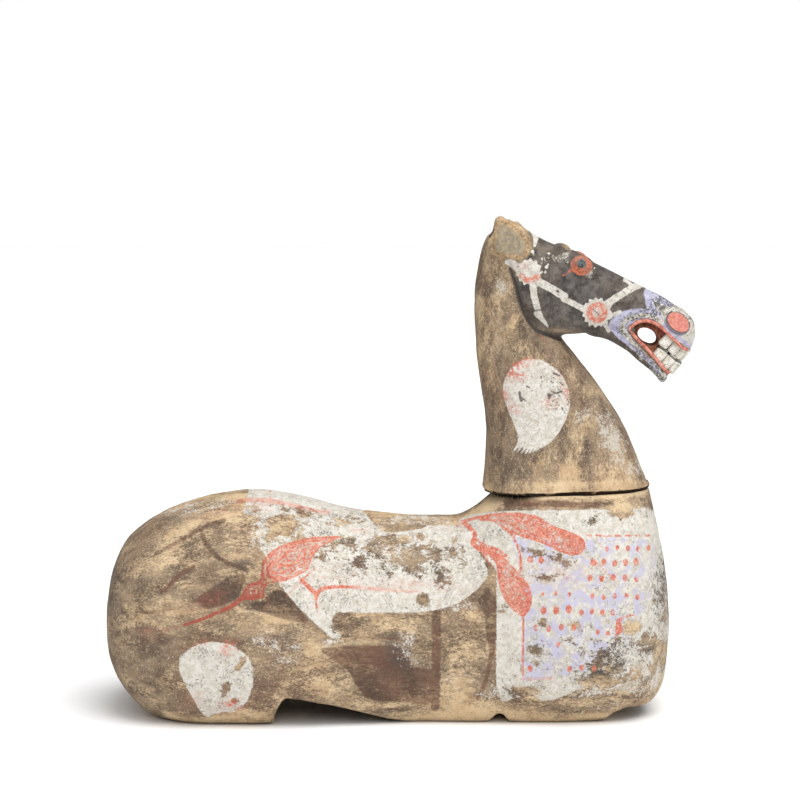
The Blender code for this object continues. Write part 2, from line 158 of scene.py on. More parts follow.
# Forms on the head's grid. Those with a y off the middle have a twin on the other side.
SOCKET = {"at": (11, 26.5, 251), "radii": (29, 12.5, 14.5), "tilt": 27}
EYEBALL = {"at": (13.3, 34.5, 255.8), "radii": (11.5, 8, 9.8), "tilt": 27}
PUPIL = {"at": (13.3, 41, 257.5), "radii": (5.2, 3.2, 5.2), "tilt": 0}
FOREHEAD_KNOB = {"at": (-5, 12, 272), "radii": (9, 8, 4.5), "tilt": 15}
POLL_KNOB = {"at": (-75, 0, 299.5), "radii": (6, 15, 8), "tilt": 0}
NOSE_WING = {"at": (122, 20, 190), "radii": (21, 10, 15), "tilt": 38}
EAR_STUMP = {"at": (-64, 31, 281), "radii": (20, 8.5, 20), "tilt": 30}
EAR_BREAK = {"at": (-64, 40.5, 281), "radii": (15, 16), "tilt": 30, "depth": 7}
MOUTH_CORNER = {"at": (66, 23, 182), "radii": (10, 6.5, 9), "tilt": 0}
MOUTH_LINING = {"at": (88, 0, 174), "radii": (24, 17, 17), "tilt": 36}
MOUTH_HOLE = {"at": (89.4, 174), "radii": (12.8, 8.2), "tilt": 36}
NOSTRIL = {"at": (122.5, 31.5, 191.5), "radii": (14.4, 9.7), "tilt": 38, "depth": 7}
POLL_HOLE = {"at": (-93, 292.5), "radii": (10.5, 7.5), "half_width": 24}
LIP_RADIUS = 1.9
UPPER_LIP = (
    (67, 27, 184), (78, 27, 192), (92, 27, 192), (104, 26.5, 185), (116, 25.5, 173.5),
    (126.5, 22, 163.5), (132.5, 13, 160), (134.5, 0, 160),
)
LOWER_LIP = (
    (67, 27, 184), (76, 25, 173), (88, 23, 161), (99, 21.5, 148.5), (107, 19.5, 139),
    (111, 14.5, 134.5), (113, 7, 133), (113.5, 0, 133),
)
LIP_FLESH = {"radius": 5.5, "lift": 5.5, "inset": 3.5}
UPPER_TEETH = {"rear": (105.3, 175.1), "reach": 33.2, "half_width": 20, "count": 8, "thick": 8, "tall": 18.5}
LOWER_TEETH = {"rear": (97, 159.2), "reach": 31.2, "half_width": 17.5, "count": 7, "thick": 8, "tall": 17.5}
TEETH_FALL = 40
TOOTH_GAP = 0.6
TOOTH_ROUNDING = 3.2
TOOTH_SWAY = {"tall": 0.8, "lean_deg": 4}
GUM_SHARE = 0.8
SIDES = (-1, 1)

# How finely each clay form is meshed, in metres.
TRUNK_VOXEL = 0.0031
HEAD_VOXEL = 0.0018
CUT_MARGIN = 0.05
ROUND_SIDES = 48

# Fine shaping, in metres, with lines and rings on the side plan, in pixels of the photograph.
# Bumps: the largest ones' breadth, how many finer steps there are, the seed and the height.
TRUNK_UNEVEN = ((0.085, 2, 1, 0.0016), (0.024, 3, 2, 0.0005), (0.007, 2, 3, 0.00016))
HEAD_UNEVEN = ((0.045, 2, 4, 0.0007), (0.014, 3, 5, 0.00028), (0.005, 2, 6, 0.0001))
RAGGED_FOOT = (0.012, 3, 7, 0.0012)
RAGGED_BELOW = 0.02
BROKEN_EAR = (0.006, 4, 8, 0.0011)
EAR_SINK = 0.0006
ROUGH_POLL = (0.009, 4, 9, 0.0016)
POLL = {"from": 0.284, "over": 0.016}
NECK_FOOT = (0.012, 3, 10, 0.0012)
NECK_FOOT_HEIGHT = 0.008
FACES_DOWN = -0.8
GROIN_FOLD = {"line": ((283, 716), (286, 700), (291, 680), (297, 656)), "widths": (26, 16), "depth": 0.004}
FLOOR_EDGE = {"height": 0.0045, "inset": 0.0022}
SEAT_EDGE = 0.02
CHEEK_RIDGE = {
    "line": ((560, 290), (590, 297), (618, 300), (640, 303)), "widths": (15, 8), "half_width": 8,
    "height": 0.0009,
}
GROOVE = {"width": 5, "depth": 0.0019}
# Raised rings round eye and nostril: centre, radius, half width, squash, tilt and height.
RAISED_RINGS = (((581.6, 265.3), 11.2, 3.2, 0.92, 20, 0.0013), ((678.3, 322.2), 14.2, 3.4, 0.68, 38, 0.0011))
# Bands of bare clay, in metres: low on the trunk, along the seat's rim, at the neck's foot and at the poll.
# The low band on the trunk also lightens the clay along its bottom edge, as painted light.
LOW_CLAY = 0.026
SEAT_RIM = {"height": 0.006, "from_x": 0.07}
FOOT_CLAY = 0.02
POLL_CLAY = {"from": 0.285, "over": 0.012}
# How high the painted shade on the belly's underside reaches, in metres.
SHADED_UNDERSIDE_HEIGHT = 0.045
INNER_HALF_WIDTH = 0.0215

# The photograph's camera, which also gives the side plan its pixels.
PHOTO_SIZE = 800
PIXEL = 0.0011186
CAMERA_DISTANCE = 3.5
CAMERA_RISE_DEG = 7.0
CAMERA_TARGET = Vector((-0.0002, 0, 0.351))
SENSOR = 36.0


def curve_at(points, places):
    """Values at places along a smooth closed curve through points, a whole number being a point."""
    points = np.asarray(points, float)
    start = np.floor(places).astype(int)
    t = (places - start)[:, None]
    before, here, after, beyond = (points[(start + step) % len(points)] for step in (-1, 0, 1, 2))
    return 0.5 * (
        2 * here
        + (after - before) * t
        + (2 * before - 5 * here + 4 * after - beyond) * t**2
        + (3 * here - before - 3 * after + beyond) * t**3
    )


def loft_rings(stations, rings, around, widest, squareness):
    """Rings of as many points as around says through a loft's stations, without the two end points."""
    uppers = [(*upper, width) for upper, lower, width in stations]
    lowers = [(*lower, -width) for upper, lower, width in stations[1:-1]]
    closed = uppers + lowers[::-1]
    places = np.linspace(0, len(stations) - 1, rings + 2)[1:-1]
    upper = curve_at(closed, places)
    lower = curve_at(closed, len(closed) - places)
    top, bottom, width = upper[:, :2], lower[:, :2], upper[:, 2]
    middle = bottom + (top - bottom) * widest
    turn = np.arange(around) * (2 * math.pi / around)
    cosine, sine = np.cos(turn), np.sin(turn)
    power = np.where(cosine > 0, 2 / squareness[0], 2 / squareness[1])
    up = np.sign(cosine) * np.abs(cosine) ** power
    out = np.sign(sine) * np.abs(sine) ** power
    reach = np.where(cosine[None, :, None] > 0, (top - middle)[:, None], (middle - bottom)[:, None])
    flat = middle[:, None] + reach * up[None, :, None]
    across = width[:, None] * out[None, :]
    return np.stack([flat[:, :, 0], across, flat[:, :, 1]], axis=2)


def new_object(name, mesh):
    made = bpy.data.objects.new(name, mesh)
    bpy.context.scene.collection.objects.link(made)
    return made


def mesh_from(name, form):
    """A mesh object from a bmesh, with its faces pointing out."""
    bmesh.ops.recalc_face_normals(form, faces=form.faces)
    mesh = bpy.data.meshes.new(name)
    form.to_mesh(mesh)
    form.free()
    return new_object(name, mesh)


def loft(name, stations, mesh_size, widest, squareness, to_place, shaped=None):
    """A closed form through the stations. to_place turns grid points into metres."""
    rings, around = mesh_size["rings"], mesh_size["around"]
    rows = loft_rings(stations, rings, around, widest, squareness)
    if shaped:
        rows = shaped(rows)
    first, last = ((*stations[end][0], 0) for end in (0, -1))
    points = [(first[0], 0, first[1]), *rows.reshape(-1, 3), (last[0], 0, last[1])]
    form = bmesh.new()
    verts = [form.verts.new(to_place(point)) for point in points]
    ring = [verts[1 + row * around : 1 + (row + 1) * around] for row in range(rings)]
    for j in range(around):
        k = (j + 1) % around
        form.faces.new((verts[0], ring[0][j], ring[0][k]))
        form.faces.new((verts[-1], ring[-1][k], ring[-1][j]))
        for row in range(rings - 1):
            form.faces.new((ring[row][j], ring[row + 1][j], ring[row + 1][k], ring[row][k]))
    return mesh_from(name, form)


def trunk_place(point):
    x, y, z = point
    return Vector((
        RUMP_X + x * TRUNK_UNIT,
        y * TRUNK_WIDTH / TRUNK_GRID[1],
        z * TRUNK_HEIGHT / TRUNK_GRID[2],
    ))


def head_place(point):
    x, y, z = point
    across = y * HEAD_PIECE_WIDTH / HEAD_GRID_WIDTH
    return Vector((SEAT_X + x * HEAD_UNIT, across, SEAT_HEIGHT + z * HEAD_UNIT))


def with_flank_crease(rows):
    """The trunk's rings with the shallow upright groove between belly and shoulder."""
    crease = FLANK_CREASE
    x, y, z = rows[:, :, 0], rows[:, :, 1], rows[:, :, 2]
    near = np.exp(-(((x - crease["x"]) / crease["half_width"]) ** 2))
    height = np.clip((z - crease["low"]) / (crease["high"] - crease["low"]), 0, 1)
    side = np.abs(y) / np.abs(y).max()
    rows[:, :, 1] = y - np.sign(y) * crease["depth"] * near * (1 - height**2) * side
    return rows


def evaluated_mesh(thing):
    """The object's shape with its modifiers, as a new mesh. The object itself goes."""
    bpy.context.view_layer.update()
    evaluated = thing.evaluated_get(bpy.context.evaluated_depsgraph_get())
    mesh = bpy.data.meshes.new_from_object(evaluated)
    mesh.transform(thing.matrix_world)
    bpy.data.objects.remove(thing, do_unlink=True)
    return mesh


def applied(thing):
    """The same object with its modifiers and its placing made part of the mesh."""
    name = thing.name
    mesh = evaluated_mesh(thing)
    return new_object(name, mesh)


def extruded(name, outline, to_place, half_width):
    """A closed outline in the side view, drawn out to both sides."""
    form = bmesh.new()
    ends = []
    for y in (-half_width, half_width):
        corners = [form.verts.new(to_place((x, 0, z)) + Vector((0, y, 0))) for x, z in outline]
        form.faces.new(corners)
        ends.append(corners)
    for i in range(len(outline)):
        k = (i + 1) % len(outline)
        form.faces.new((ends[0][i], ends[0][k], ends[1][k], ends[1][i]))
    return mesh_from(name, form)


def box(name, low, high):
    form = bmesh.new()
    bmesh.ops.create_cube(form, size=1)
    middle = (Vector(low) + Vector(high)) / 2
    size = Vector(high) - Vector(low)
    for vert in form.verts:
        vert.co = middle + Vector(a * b for a, b in zip(vert.co, size))
    return mesh_from(name, form)


def round_solid(name, segments, to_place, at, radii, tilt, tall=None):
    """An ellipsoid, or an elliptic cylinder along Y where tall is given, on the grid of to_place."""
    form = bmesh.new()
    if tall is None:
        bmesh.ops.create_uvsphere(form, u_segments=segments, v_segments=segments // 2, radius=1)
        size = radii
    else:
        bmesh.ops.create_cone(
            form, segments=segments, radius1=1, radius2=1, depth=1, cap_ends=True,
            matrix=Matrix.Rotation(math.pi / 2, 4, "X"),
        )
        size = (radii[0], tall, radii[1])
    shape = Matrix.Rotation(math.radians(tilt), 4, "Y") @ Matrix.Diagonal((*size, 1))
    for vert in form.verts:
        vert.co = to_place(shape @ vert.co + Vector(at))
    return mesh_from(name, form)


def lump(name, form, side):
    x, y, z = form["at"]
    return round_solid(name, ROUND_SIDES, head_place, (x, side * y, z), form["radii"], form["tilt"])


def tube(name, points, radius, bevel=5):
    """A round strand of clay along points of the head's grid."""
    curve = bpy.data.curves.new(name, "CURVE")
    curve.dimensions = "3D"
    curve.bevel_depth = radius * HEAD_UNIT
    curve.bevel_resolution = bevel
    curve.resolution_u = 10
    curve.use_fill_caps = True
    spline = curve.splines.new("BEZIER")
    spline.bezier_points.add(len(points) - 1)
    for knot, point in zip(spline.bezier_points, points):
        knot.co = head_place(point)
        knot.handle_left_type = knot.handle_right_type = "AUTO"
    mesh = evaluated_mesh(new_object(name, curve))
    form = bmesh.new()
    form.from_mesh(mesh)
    bmesh.ops.remove_doubles(form, verts=form.verts, dist=1e-6)
    return mesh_from(name, form)


def on_side(points, side):
    return [(x, side * y, z) for x, y, z in points]


def both_sides(points):
    """A strand that runs from one side round the front to the other."""
    return on_side(points, -1) + on_side(points, 1)[-2::-1]


def lip_flesh_path():
    """The upper lip's own thickness lies above and behind its edge."""
    return [(x, max(y - LIP_FLESH["inset"], 0), z + LIP_FLESH["lift"]) for x, y, z in UPPER_LIP]


def teeth(name, row):
    """A row of teeth on the arc round the front of the mouth, with the gum that they stand on."""
    fall = math.radians(-TEETH_FALL)
    forward = Vector((math.cos(fall), 0, math.sin(fall)))
    upright = Vector((-math.sin(fall), 0, math.cos(fall)))
    rear = Vector((row["rear"][0], 0, row["rear"][1]))
    step = math.pi / row["count"]

    def on_arc(turn):
        sideways = Vector((0, row["half_width"] * math.sin(turn), 0))
        return rear + forward * row["reach"] * math.cos(turn) + sideways

    made = []
    for number in range(row["count"]):
        turn = step * (number + 0.5) - math.pi / 2
        along = on_arc(turn + step / 2) - on_arc(turn - step / 2)
        sway = math.sin(2.4 * number + row["reach"])
        size = (along.length - TOOTH_GAP, row["thick"], row["tall"] + TOOTH_SWAY["tall"] * sway)
        lean = Matrix.Rotation(math.radians(TOOTH_SWAY["lean_deg"]) * sway, 3, "Y")
        axes = Matrix((along.normalized(), upright.cross(along).normalized(), upright)).transposed()
        tooth = bmesh.new()
        bmesh.ops.create_cube(tooth, size=1)
        bmesh.ops.scale(tooth, vec=size, verts=tooth.verts)
        bmesh.ops.bevel(
            tooth, geom=tooth.edges, offset=TOOTH_ROUNDING, segments=5, profile=0.5, affect="EDGES",
        )
        centre = on_arc(turn)
        for vert in tooth.verts:
            vert.co = head_place(centre + axes @ lean @ vert.co)
        made.append(mesh_from(f"{name}_{number}", tooth))
    gum = bmesh.new()
    bmesh.ops.create_cone(gum, segments=ROUND_SIDES, radius1=1, radius2=1, depth=1, cap_ends=True)
    size = Matrix.Diagonal((row["reach"] * GUM_SHARE, row["half_width"] * GUM_SHARE, row["tall"]))
    axes = Matrix((forward, (0, 1, 0), upright)).transposed() @ size
    for vert in gum.verts:
        vert.co = head_place(rear + axes @ vert.co)
    return made, mesh_from(f"{name}_gum", gum)


def joined(name, things):
    """One mesh that holds every shell, still as separate closed shells."""
    form = bmesh.new()
    for thing in things:
        form.from_mesh(thing.data)
        bpy.data.objects.remove(thing, do_unlink=True)
    mesh = bpy.data.meshes.new(name)
    form.to_mesh(mesh)
    form.free()
    return new_object(name, mesh)


def fired(name, shells, cutters, voxel, smoothing):
    """Melts the shells into one clay body, cuts it and softens its edges."""
    body = joined(name, shells)
    remesh = body.modifiers.new("one_clay", "REMESH")
    remesh.mode = "VOXEL"
    remesh.voxel_size = voxel
    body = applied(body)
    for cutter in cutters:
        cut = body.modifiers.new("cut", "BOOLEAN")
        cut.operation = "DIFFERENCE"
        cut.object = cutter
    body = applied(body)
    for cutter in cutters:
        bpy.data.objects.remove(cutter, do_unlink=True)
    remesh = body.modifiers.new("even_mesh", "REMESH")
    remesh.mode = "VOXEL"
    remesh.voxel_size = voxel
    smooth = body.modifiers.new("softened", "SMOOTH")
    smooth.iterations = smoothing
    return applied(body)


def points_of(mesh, what="co"):
    values = np.empty(len(mesh.vertices) * 3, np.float32)
    if what == "co":
        mesh.vertices.foreach_get("co", values)
    else:
        mesh.vertex_normals.foreach_get("vector", values)
    return values.reshape(-1, 3).astype(float)


def set_points(mesh, points):
    mesh.vertices.foreach_set("co", points.astype(np.float32).ravel())
    mesh.update()


def rough(points, feature, octaves, seed):
    """Fractal noise of about -1 to 1 at each point, its largest bumps a feature wide."""
    shift = Vector((seed * 7.3, seed * 3.1, seed * 5.7))
    return np.array([
        noise.fractal(Vector(point) / feature + shift, 1.0, 2.1, octaves, noise_basis="PERLIN_ORIGINAL")
        for point in points
    ])


def pushed(points, normals, distance):
    return points + normals * distance[:, None]


def roughened(points, normals, share, feature, octaves, seed, height):
    """Points pushed in and out by noise of that height over a share of the surface."""
    return pushed(points, normals, share * rough(points, feature, octaves, seed) * height)


def uneven(points, normals, kinds):
    for kind in kinds:
        points = roughened(points, normals, 1, *kind)
    return points


def side_plan(points):
    """Photograph pixels (u, v) of each point, as if it lay on the near side."""
    rise = math.radians(CAMERA_RISE_DEG)
    ahead = np.array([0, math.cos(rise), -math.sin(rise)])
    up = np.array([0, math.sin(rise), math.cos(rise)])
    near = points * (1, 0, 1) - np.abs(points) * (0, 1, 0)
    offset = near - np.array(CAMERA_TARGET)
    depth = CAMERA_DISTANCE + offset @ ahead
    scale = CAMERA_DISTANCE / PIXEL / depth
    return PHOTO_SIZE / 2 + offset[:, 0] * scale, PHOTO_SIZE / 2 - (offset @ up) * scale


def open_curve(points, fineness=5):
    """A smooth open curve through points, with any further columns carried along."""
    points = np.asarray(points, float)
    padded = np.vstack([2 * points[0] - points[1], points, 2 * points[-1] - points[-2]])
    places = np.linspace(1, len(points), (len(points) - 1) * fineness + 1)
    return curve_at(padded, np.minimum(places, len(points) - 1e-6))


def closed_curve(points, fineness=5):
    return curve_at(points, np.linspace(0, len(points), len(points) * fineness, endpoint=False))


class Plan:
    """The side plan of a form's points, and signed distances on it in pixels, positive inside a shape."""

    REACH = 14

    def __init__(self, points):
        self.u, self.v = side_plan(points)

    def blank(self):
        return np.full(len(self.u), -float(self.REACH))

    def close(self, outline, margin=0):
        low, high = outline.min(0) - self.REACH - margin, outline.max(0) + self.REACH + margin
        inside = (self.u > low[0]) & (self.u < high[0]) & (self.v > low[1]) & (self.v < high[1])
        return np.nonzero(inside)[0]

    def to_path(self, where, path, closed):
        """Distance from the chosen points to a path, the place along it and, if closed, which lie inside."""
        u, v = self.u[where], self.v[where]
        best = np.full(len(where), 1e9)
        place = np.zeros(len(where))
        inside = np.zeros(len(where), bool)
        count = len(path) if closed else len(path) - 1
        for i in range(count):
            (a, b), (c, d) = path[i], path[(i + 1) % len(path)]
            du, dv = c - a, d - b
            size = du * du + dv * dv + 1e-12
            share = np.clip(((u - a) * du + (v - b) * dv) / size, 0, 1)
            distance = np.hypot(u - a - share * du, v - b - share * dv)
            nearer = distance < best
            best = np.where(nearer, distance, best)
            place = np.where(nearer, i + share, place)
            if closed and dv != 0:
                crosses = ((b > v) != (d > v)) & (u < du * (v - b) / dv + a)
                inside ^= crosses
        return best, place, inside

    def area(self, field, outline):
        """Adds a filled outline to a field."""
        path = closed_curve(outline)
        where = self.close(path)
        distance, _, inside = self.to_path(where, path, True)
        field[where] = np.maximum(field[where], np.where(inside, distance, -distance))

    def line(self, field, points, width, end_width):
        """Adds a brush line to a field, which tapers to end_width."""
        path = open_curve(points)
        where = self.close(path, width)
        distance, place, _ = self.to_path(where, path, False)
        half = (width + (end_width - width) * place / (len(path) - 1)) / 2
        field[where] = np.maximum(field[where], half - distance)

    def turned(self, u, v, tilt):
        """Each point's place along and across a tilted shape at u, v."""
        turn = math.radians(tilt)
        du, dv = self.u - u, self.v - v
        return du * math.cos(turn) + dv * math.sin(turn), dv * math.cos(turn) - du * math.sin(turn)

    def disc(self, field, centre, radius, squash=1, tilt=0, petals=0, petal_depth=0):
        """Adds a round or oval spot to a field, its edge scalloped where petals are given."""
        a, b = self.turned(*centre, tilt)
        b = b / squash
        edge = radius + petal_depth * np.cos(petals * np.arctan2(b, a))
        np.maximum(field, np.maximum(edge - np.hypot(a, b), -float(self.REACH)), out=field)

    def soft(self, field, u, v, length, width, strength, tilt=0):
        """Adds a soft spot of 0 to its strength to a field."""
        a, b = self.turned(u, v, tilt)
        np.maximum(field, strength * np.exp(-((a / length) ** 2 + (b / width) ** 2)), out=field)


def painted_fields(plan, areas, lines, places):
    """Fields of a form's painted shapes and soft places, named as in the three tables."""
    fields = {name: plan.blank() for name in (*areas, *lines)}
    for name, outlines in areas.items():
        for outline in outlines:
            plan.area(fields[name], outline)
    for name, strokes in lines.items():
        for stroke in strokes:
            plan.line(fields[name], *stroke)
    for name, spots in places.items():
        fields[name] = np.zeros(len(plan.u))
        for spot in spots:
            plan.soft(fields[name], *spot)
    return fields


def keep_fields(mesh, fields):
    for name, values in fields.items():
        field = mesh.attributes.new(name, "FLOAT", "POINT")
        field.data.foreach_set("value", values.astype(np.float32))


def smooth_shaded(thing):
    thing.data.polygons.foreach_set("use_smooth", [True] * len(thing.data.polygons))
    thing.data.update()


def srgb(*channels):
    """A colour given as 0 to 255, as linear light."""
    shares = [channel / 255 for channel in channels]
    return (*(c / 12.92 if c <= 0.04045 else ((c + 0.055) / 1.055) ** 2.4 for c in shares), 1)


class Value:
    """An output in a material, which plain signs add to others, take from them or multiply."""

    def __init__(self, look, socket):
        self.look = look
        self.socket = socket

    def __add__(self, other):
        return self.look.math("ADD", self, other)

    def __sub__(self, other):
        return self.look.math("SUBTRACT", self, other)

    def __rsub__(self, other):
        return self.look.math("SUBTRACT", other, self)

    def __mul__(self, other):
        return self.look.math("MULTIPLY", self, other)

    def step(self, low, high, to_low=0, to_high=1):
        """A soft step from to_low where this is low to to_high where it is high."""
        inputs = {"Value": self, "From Min": low, "From Max": high, "To Min": to_low, "To Max": to_high}
        return self.look.node("ShaderNodeMapRange", "Result", inputs, interpolation_type="SMOOTHSTEP")


class Look:
    """A material built from small steps."""

    def __init__(self, name, roughness):
        self.material = bpy.data.materials.new(name)
        self.material.use_nodes = True
        self.tree = self.material.node_tree
        self.shader = self.tree.nodes["Principled BSDF"]
        self.shader.inputs["Roughness"].default_value = roughness
        self.shader.inputs["Specular IOR Level"].default_value = 0.25
        self.place = self.node("ShaderNodeTexCoord", "Object", {})

    def node(self, kind, output, inputs, **settings):
        """One output of a new node, its inputs filled with plain values or linked to other outputs."""
        made = self.tree.nodes.new(kind)
        for key, value in settings.items():
            setattr(made, key, value)
        enabled = {socket.name: socket for socket in made.inputs if socket.enabled}
        for key, value in inputs.items():
            socket = made.inputs[key] if isinstance(key, int) else enabled[key]
            if isinstance(value, Value):
                self.tree.links.new(value.socket, socket)
            else:
                socket.default_value = value
        if isinstance(output, int):
            return Value(self, made.outputs[output])
        return Value(self, next(s for s in made.outputs if s.enabled and s.name == output))

    def math(self, operation, *values):
        return self.node("ShaderNodeMath", 0, dict(enumerate(values)), operation=operation)

    def most(self, a, b):
        return self.math("MAXIMUM", a, b)

    def field(self, name):
        return self.node("ShaderNodeAttribute", "Fac", {}, attribute_name=name)

    def noise(self, feature, detail=5, roughness=0.6, stretch=(1, 1, 1), distortion=0, seed=0):
        """Noise of 0 to 1 about 0.5, its largest spots about a feature across, in metres."""
        place = {"Vector": self.place, "Scale": [1 / s for s in stretch], "Location": (seed, seed * 0.7, 0)}
        inputs = {
            "Vector": self.node("ShaderNodeMapping", "Vector", place), "Scale": 1 / feature,
            "Detail": detail, "Roughness": roughness, "Distortion": distortion,
        }
        return self.node("ShaderNodeTexNoise", 0, inputs)

    def cracks(self, feature, width):
        """1 along the cell edges of a network whose cells are a feature across."""
        inputs = {"Vector": self.place, "Scale": 1 / feature}
        edge = self.node("ShaderNodeTexVoronoi", "Distance", inputs, feature="DISTANCE_TO_EDGE")
        return edge.step(width, 0)

    def mix(self, share, a, b):
        return self.node("ShaderNodeMix", "Result", {"Factor": share, "A": a, "B": b}, data_type="RGBA")

    def finish(self, colour, relief, depth):
        bump = self.node("ShaderNodeBump", "Normal", {"Height": relief, "Distance": depth, "Strength": 1.0})
        self.tree.links.new(colour.socket, self.shader.inputs["Base Color"])
        self.tree.links.new(bump.socket, self.shader.inputs["Normal"])
        return self.material


# How deep the fine relief in the paint is, in metres.
RELIEF_DEPTH = 0.001

# The paint's colours.
CLAY = (srgb(184, 155, 119), srgb(210, 185, 149))
BROWN = (srgb(96, 81, 68), srgb(150, 130, 107))
RED_BROWN = srgb(106, 76, 62)
DARK_BROWN = srgb(70, 57, 49)
WHITE = (srgb(194, 187, 174), srgb(216, 212, 204))
GLINT = srgb(224, 206, 178)
PINK = srgb(168, 144, 132)
LAVENDER = (srgb(168, 165, 190), srgb(200, 199, 219))
CORAL = (srgb(192, 92, 70), srgb(214, 132, 108))
RUST = srgb(160, 78, 64)
CREAM = srgb(196, 178, 160)
# The dark of the painted shade in the neck's joint and on the belly's underside.
SOOT = srgb(66, 63, 62)
PAINTED_SHADE_DARK = srgb(40, 31, 25)
FACE = (srgb(60, 56, 55), srgb(106, 101, 97))
LIP_RED = (srgb(166, 80, 64), srgb(224, 150, 132))
NOSTRIL_RED = (srgb(200, 118, 102), srgb(222, 150, 136))
EYE_ORANGE = (srgb(182, 122, 102), srgb(218, 122, 88))
PUPIL_GREY = (srgb(62, 64, 66), srgb(124, 128, 128))
TOOTH = (srgb(212, 205, 188), srgb(236, 233, 224))
# The dark violet of the painted shadow at the nostril.
NOSTRIL_SHADOW_VIOLET = srgb(98, 90, 112)
MOUTH_RED = srgb(138, 60, 48)
MOUTH_BROWN = srgb(150, 116, 88)
EAR_GREY = (srgb(138, 130, 114), srgb(170, 156, 130))
EAR_RIM = (srgb(128, 100, 72), srgb(196, 168, 128))

# The trunk's painted shapes on the side plan, in pixels of the photograph.
SADDLE_CLOTH = (
    (249, 470), (248, 491), (246, 503), (245, 514), (262, 518), (258, 528), (254, 535), (259, 547),
    (268, 560), (276, 578), (284, 590), (300, 609), (328, 635), (336, 639), (342, 637), (336, 629),
    (332, 621), (334, 615), (342, 612.4), (378, 613), (415, 612.4), (437, 609.6), (453, 605), (468.6, 596),
    (480, 586), (488, 575), (485, 563), (478, 551), (471, 537), (462, 526), (433, 525), (410, 531),
    (388, 532), (376, 526), (366, 514), (360, 505), (352, 470),
)
BREAST_CLOTH = (
    (459, 520), (480, 513), (509, 511), (562, 510), (611, 509), (640, 508), (672, 509), (690, 560),
    (690, 640), (682, 680), (664, 696), (640, 692), (616, 690), (594, 686), (572, 693), (556, 699),
    (541, 700), (531, 693), (513, 698), (502, 701), (496.5, 684), (496.5, 640), (496.5, 612), (496, 573),
    (487, 560), (478, 547), (468, 533),
)
HAUNCH_SPOT = (
    (179.5, 659.4), (186.4, 650.8), (200, 644), (221, 642), (238, 649), (250, 661), (253.6, 674),
    (251.8, 688), (247, 701), (236, 711), (221, 713), (213, 714), (207, 717), (198.5, 708), (190, 692),
    (181, 676),
)
BREAST_PANEL = (
    (512, 538), (540, 539), (583, 541), (612, 537), (640, 538), (656, 548), (652, 580), (648, 606),
    (632, 622), (628, 645), (604, 656), (585, 671), (552, 677), (522, 679), (522.5, 640), (523, 600),
    (519, 566),
)
SADDLE_TASSEL = (
    (341, 536.6), (319, 536.6), (304, 538.4), (285.5, 544), (271, 551.4), (263, 560.6), (261, 573),
    (258, 581), (247, 585), (242, 595.8), (246, 600), (254, 599.5), (265, 597.6), (264, 590), (270, 583),
    (285.5, 581), (298, 575.4), (307.7, 570), (312, 559), (318, 550), (329.9, 542),
)
UPPER_TASSEL = (
    (484, 515.5), (502, 513.4), (519, 513), (537, 516), (552, 525), (566, 530.5), (579, 535.5),
    (585.5, 543), (583, 552.5), (573, 555.5), (558, 551), (541, 543), (524, 538), (507, 530), (493, 521.5),
)
LOWER_TASSEL = (
    (477, 545), (490, 549), (502, 556), (512.7, 566), (521, 575), (530, 587), (532, 600.6), (528, 612.7),
    (519.5, 616), (511, 608), (503, 597), (498, 580), (495.5, 563), (488, 556),
)
DARK_AREAS = (
    (
        (197, 600), (205, 592), (214, 586), (225, 579), (236, 574.5), (246, 576.5), (242, 587), (239, 596),
        (230, 602), (214, 608), (204, 608),
    ),
    (
        (249, 606), (262, 600), (281, 590), (309, 621.5), (292, 621), (276, 617), (262, 612),
    ),
    (
        (322, 652), (330, 647), (378, 645.7), (397, 645.7), (408, 656), (413, 666), (432, 672), (432, 702),
        (402, 702), (371, 699.5), (358, 688), (345, 667),
    ),
    (
        (478, 600), (488, 592), (497, 604), (496.5, 640), (492, 660), (487, 640), (484, 615),
    ),
)
TRUNK_AREAS = {
    "white": (SADDLE_CLOTH, BREAST_CLOTH, HAUNCH_SPOT),
    "lavender": (BREAST_PANEL,),
    "coral": (SADDLE_TASSEL, UPPER_TASSEL, LOWER_TASSEL),
    "dark": DARK_AREAS,
}
# Brush lines: the points, the width at the start and the width at the end.
CORAL_LINES = (
    (((270, 487), (270, 493), (270.3, 499)), 2.2, 1.8),
    (((300.3, 579), (308, 586.5), (316.9, 595)), 4.6, 4.6),
    (((316.9, 594), (321, 589.5), (328, 587.6), (341, 586.5), (352, 586.8)), 4.4, 3.2),
    (((316.5, 595), (315.5, 601), (316.8, 608)), 3.6, 2.4),
    (((303, 580), (309, 573.5), (315, 568.5)), 2.4, 2),
    (((243, 597.6), (230, 607), (215, 613.5), (200, 620), (184, 625)), 5, 3),
    (((462, 521.5), (480, 517), (497, 514.5), (520, 514)), 3, 3),
    (((480, 519.5), (500, 521), (515, 527), (530, 536)), 2.6, 3),
    (((502, 526.5), (511, 534), (517, 545), (520, 556), (521, 570)), 3, 3),
    (((463, 522), (470, 528), (475, 535), (473, 543), (479, 549)), 4.4, 5),
    (((476, 538), (485, 545), (497, 549), (508, 557)), 3, 3),
    (((480, 549), (487, 560), (491, 567)), 3, 2.4),
    (((617.5, 631), (618, 625), (618.5, 620), (624, 617.5), (635, 614.3)), 5.4, 1.8),
    (((620, 632), (621, 628), (619, 622)), 4.4, 3.4), (((592, 558.5), (601, 567), (611, 577)), 1.8, 1.6),
    (((437, 599.5), (437.4, 610)), 2, 3), (((522.8, 617), (522.8, 640), (522.3, 676)), 2.8, 3),
)
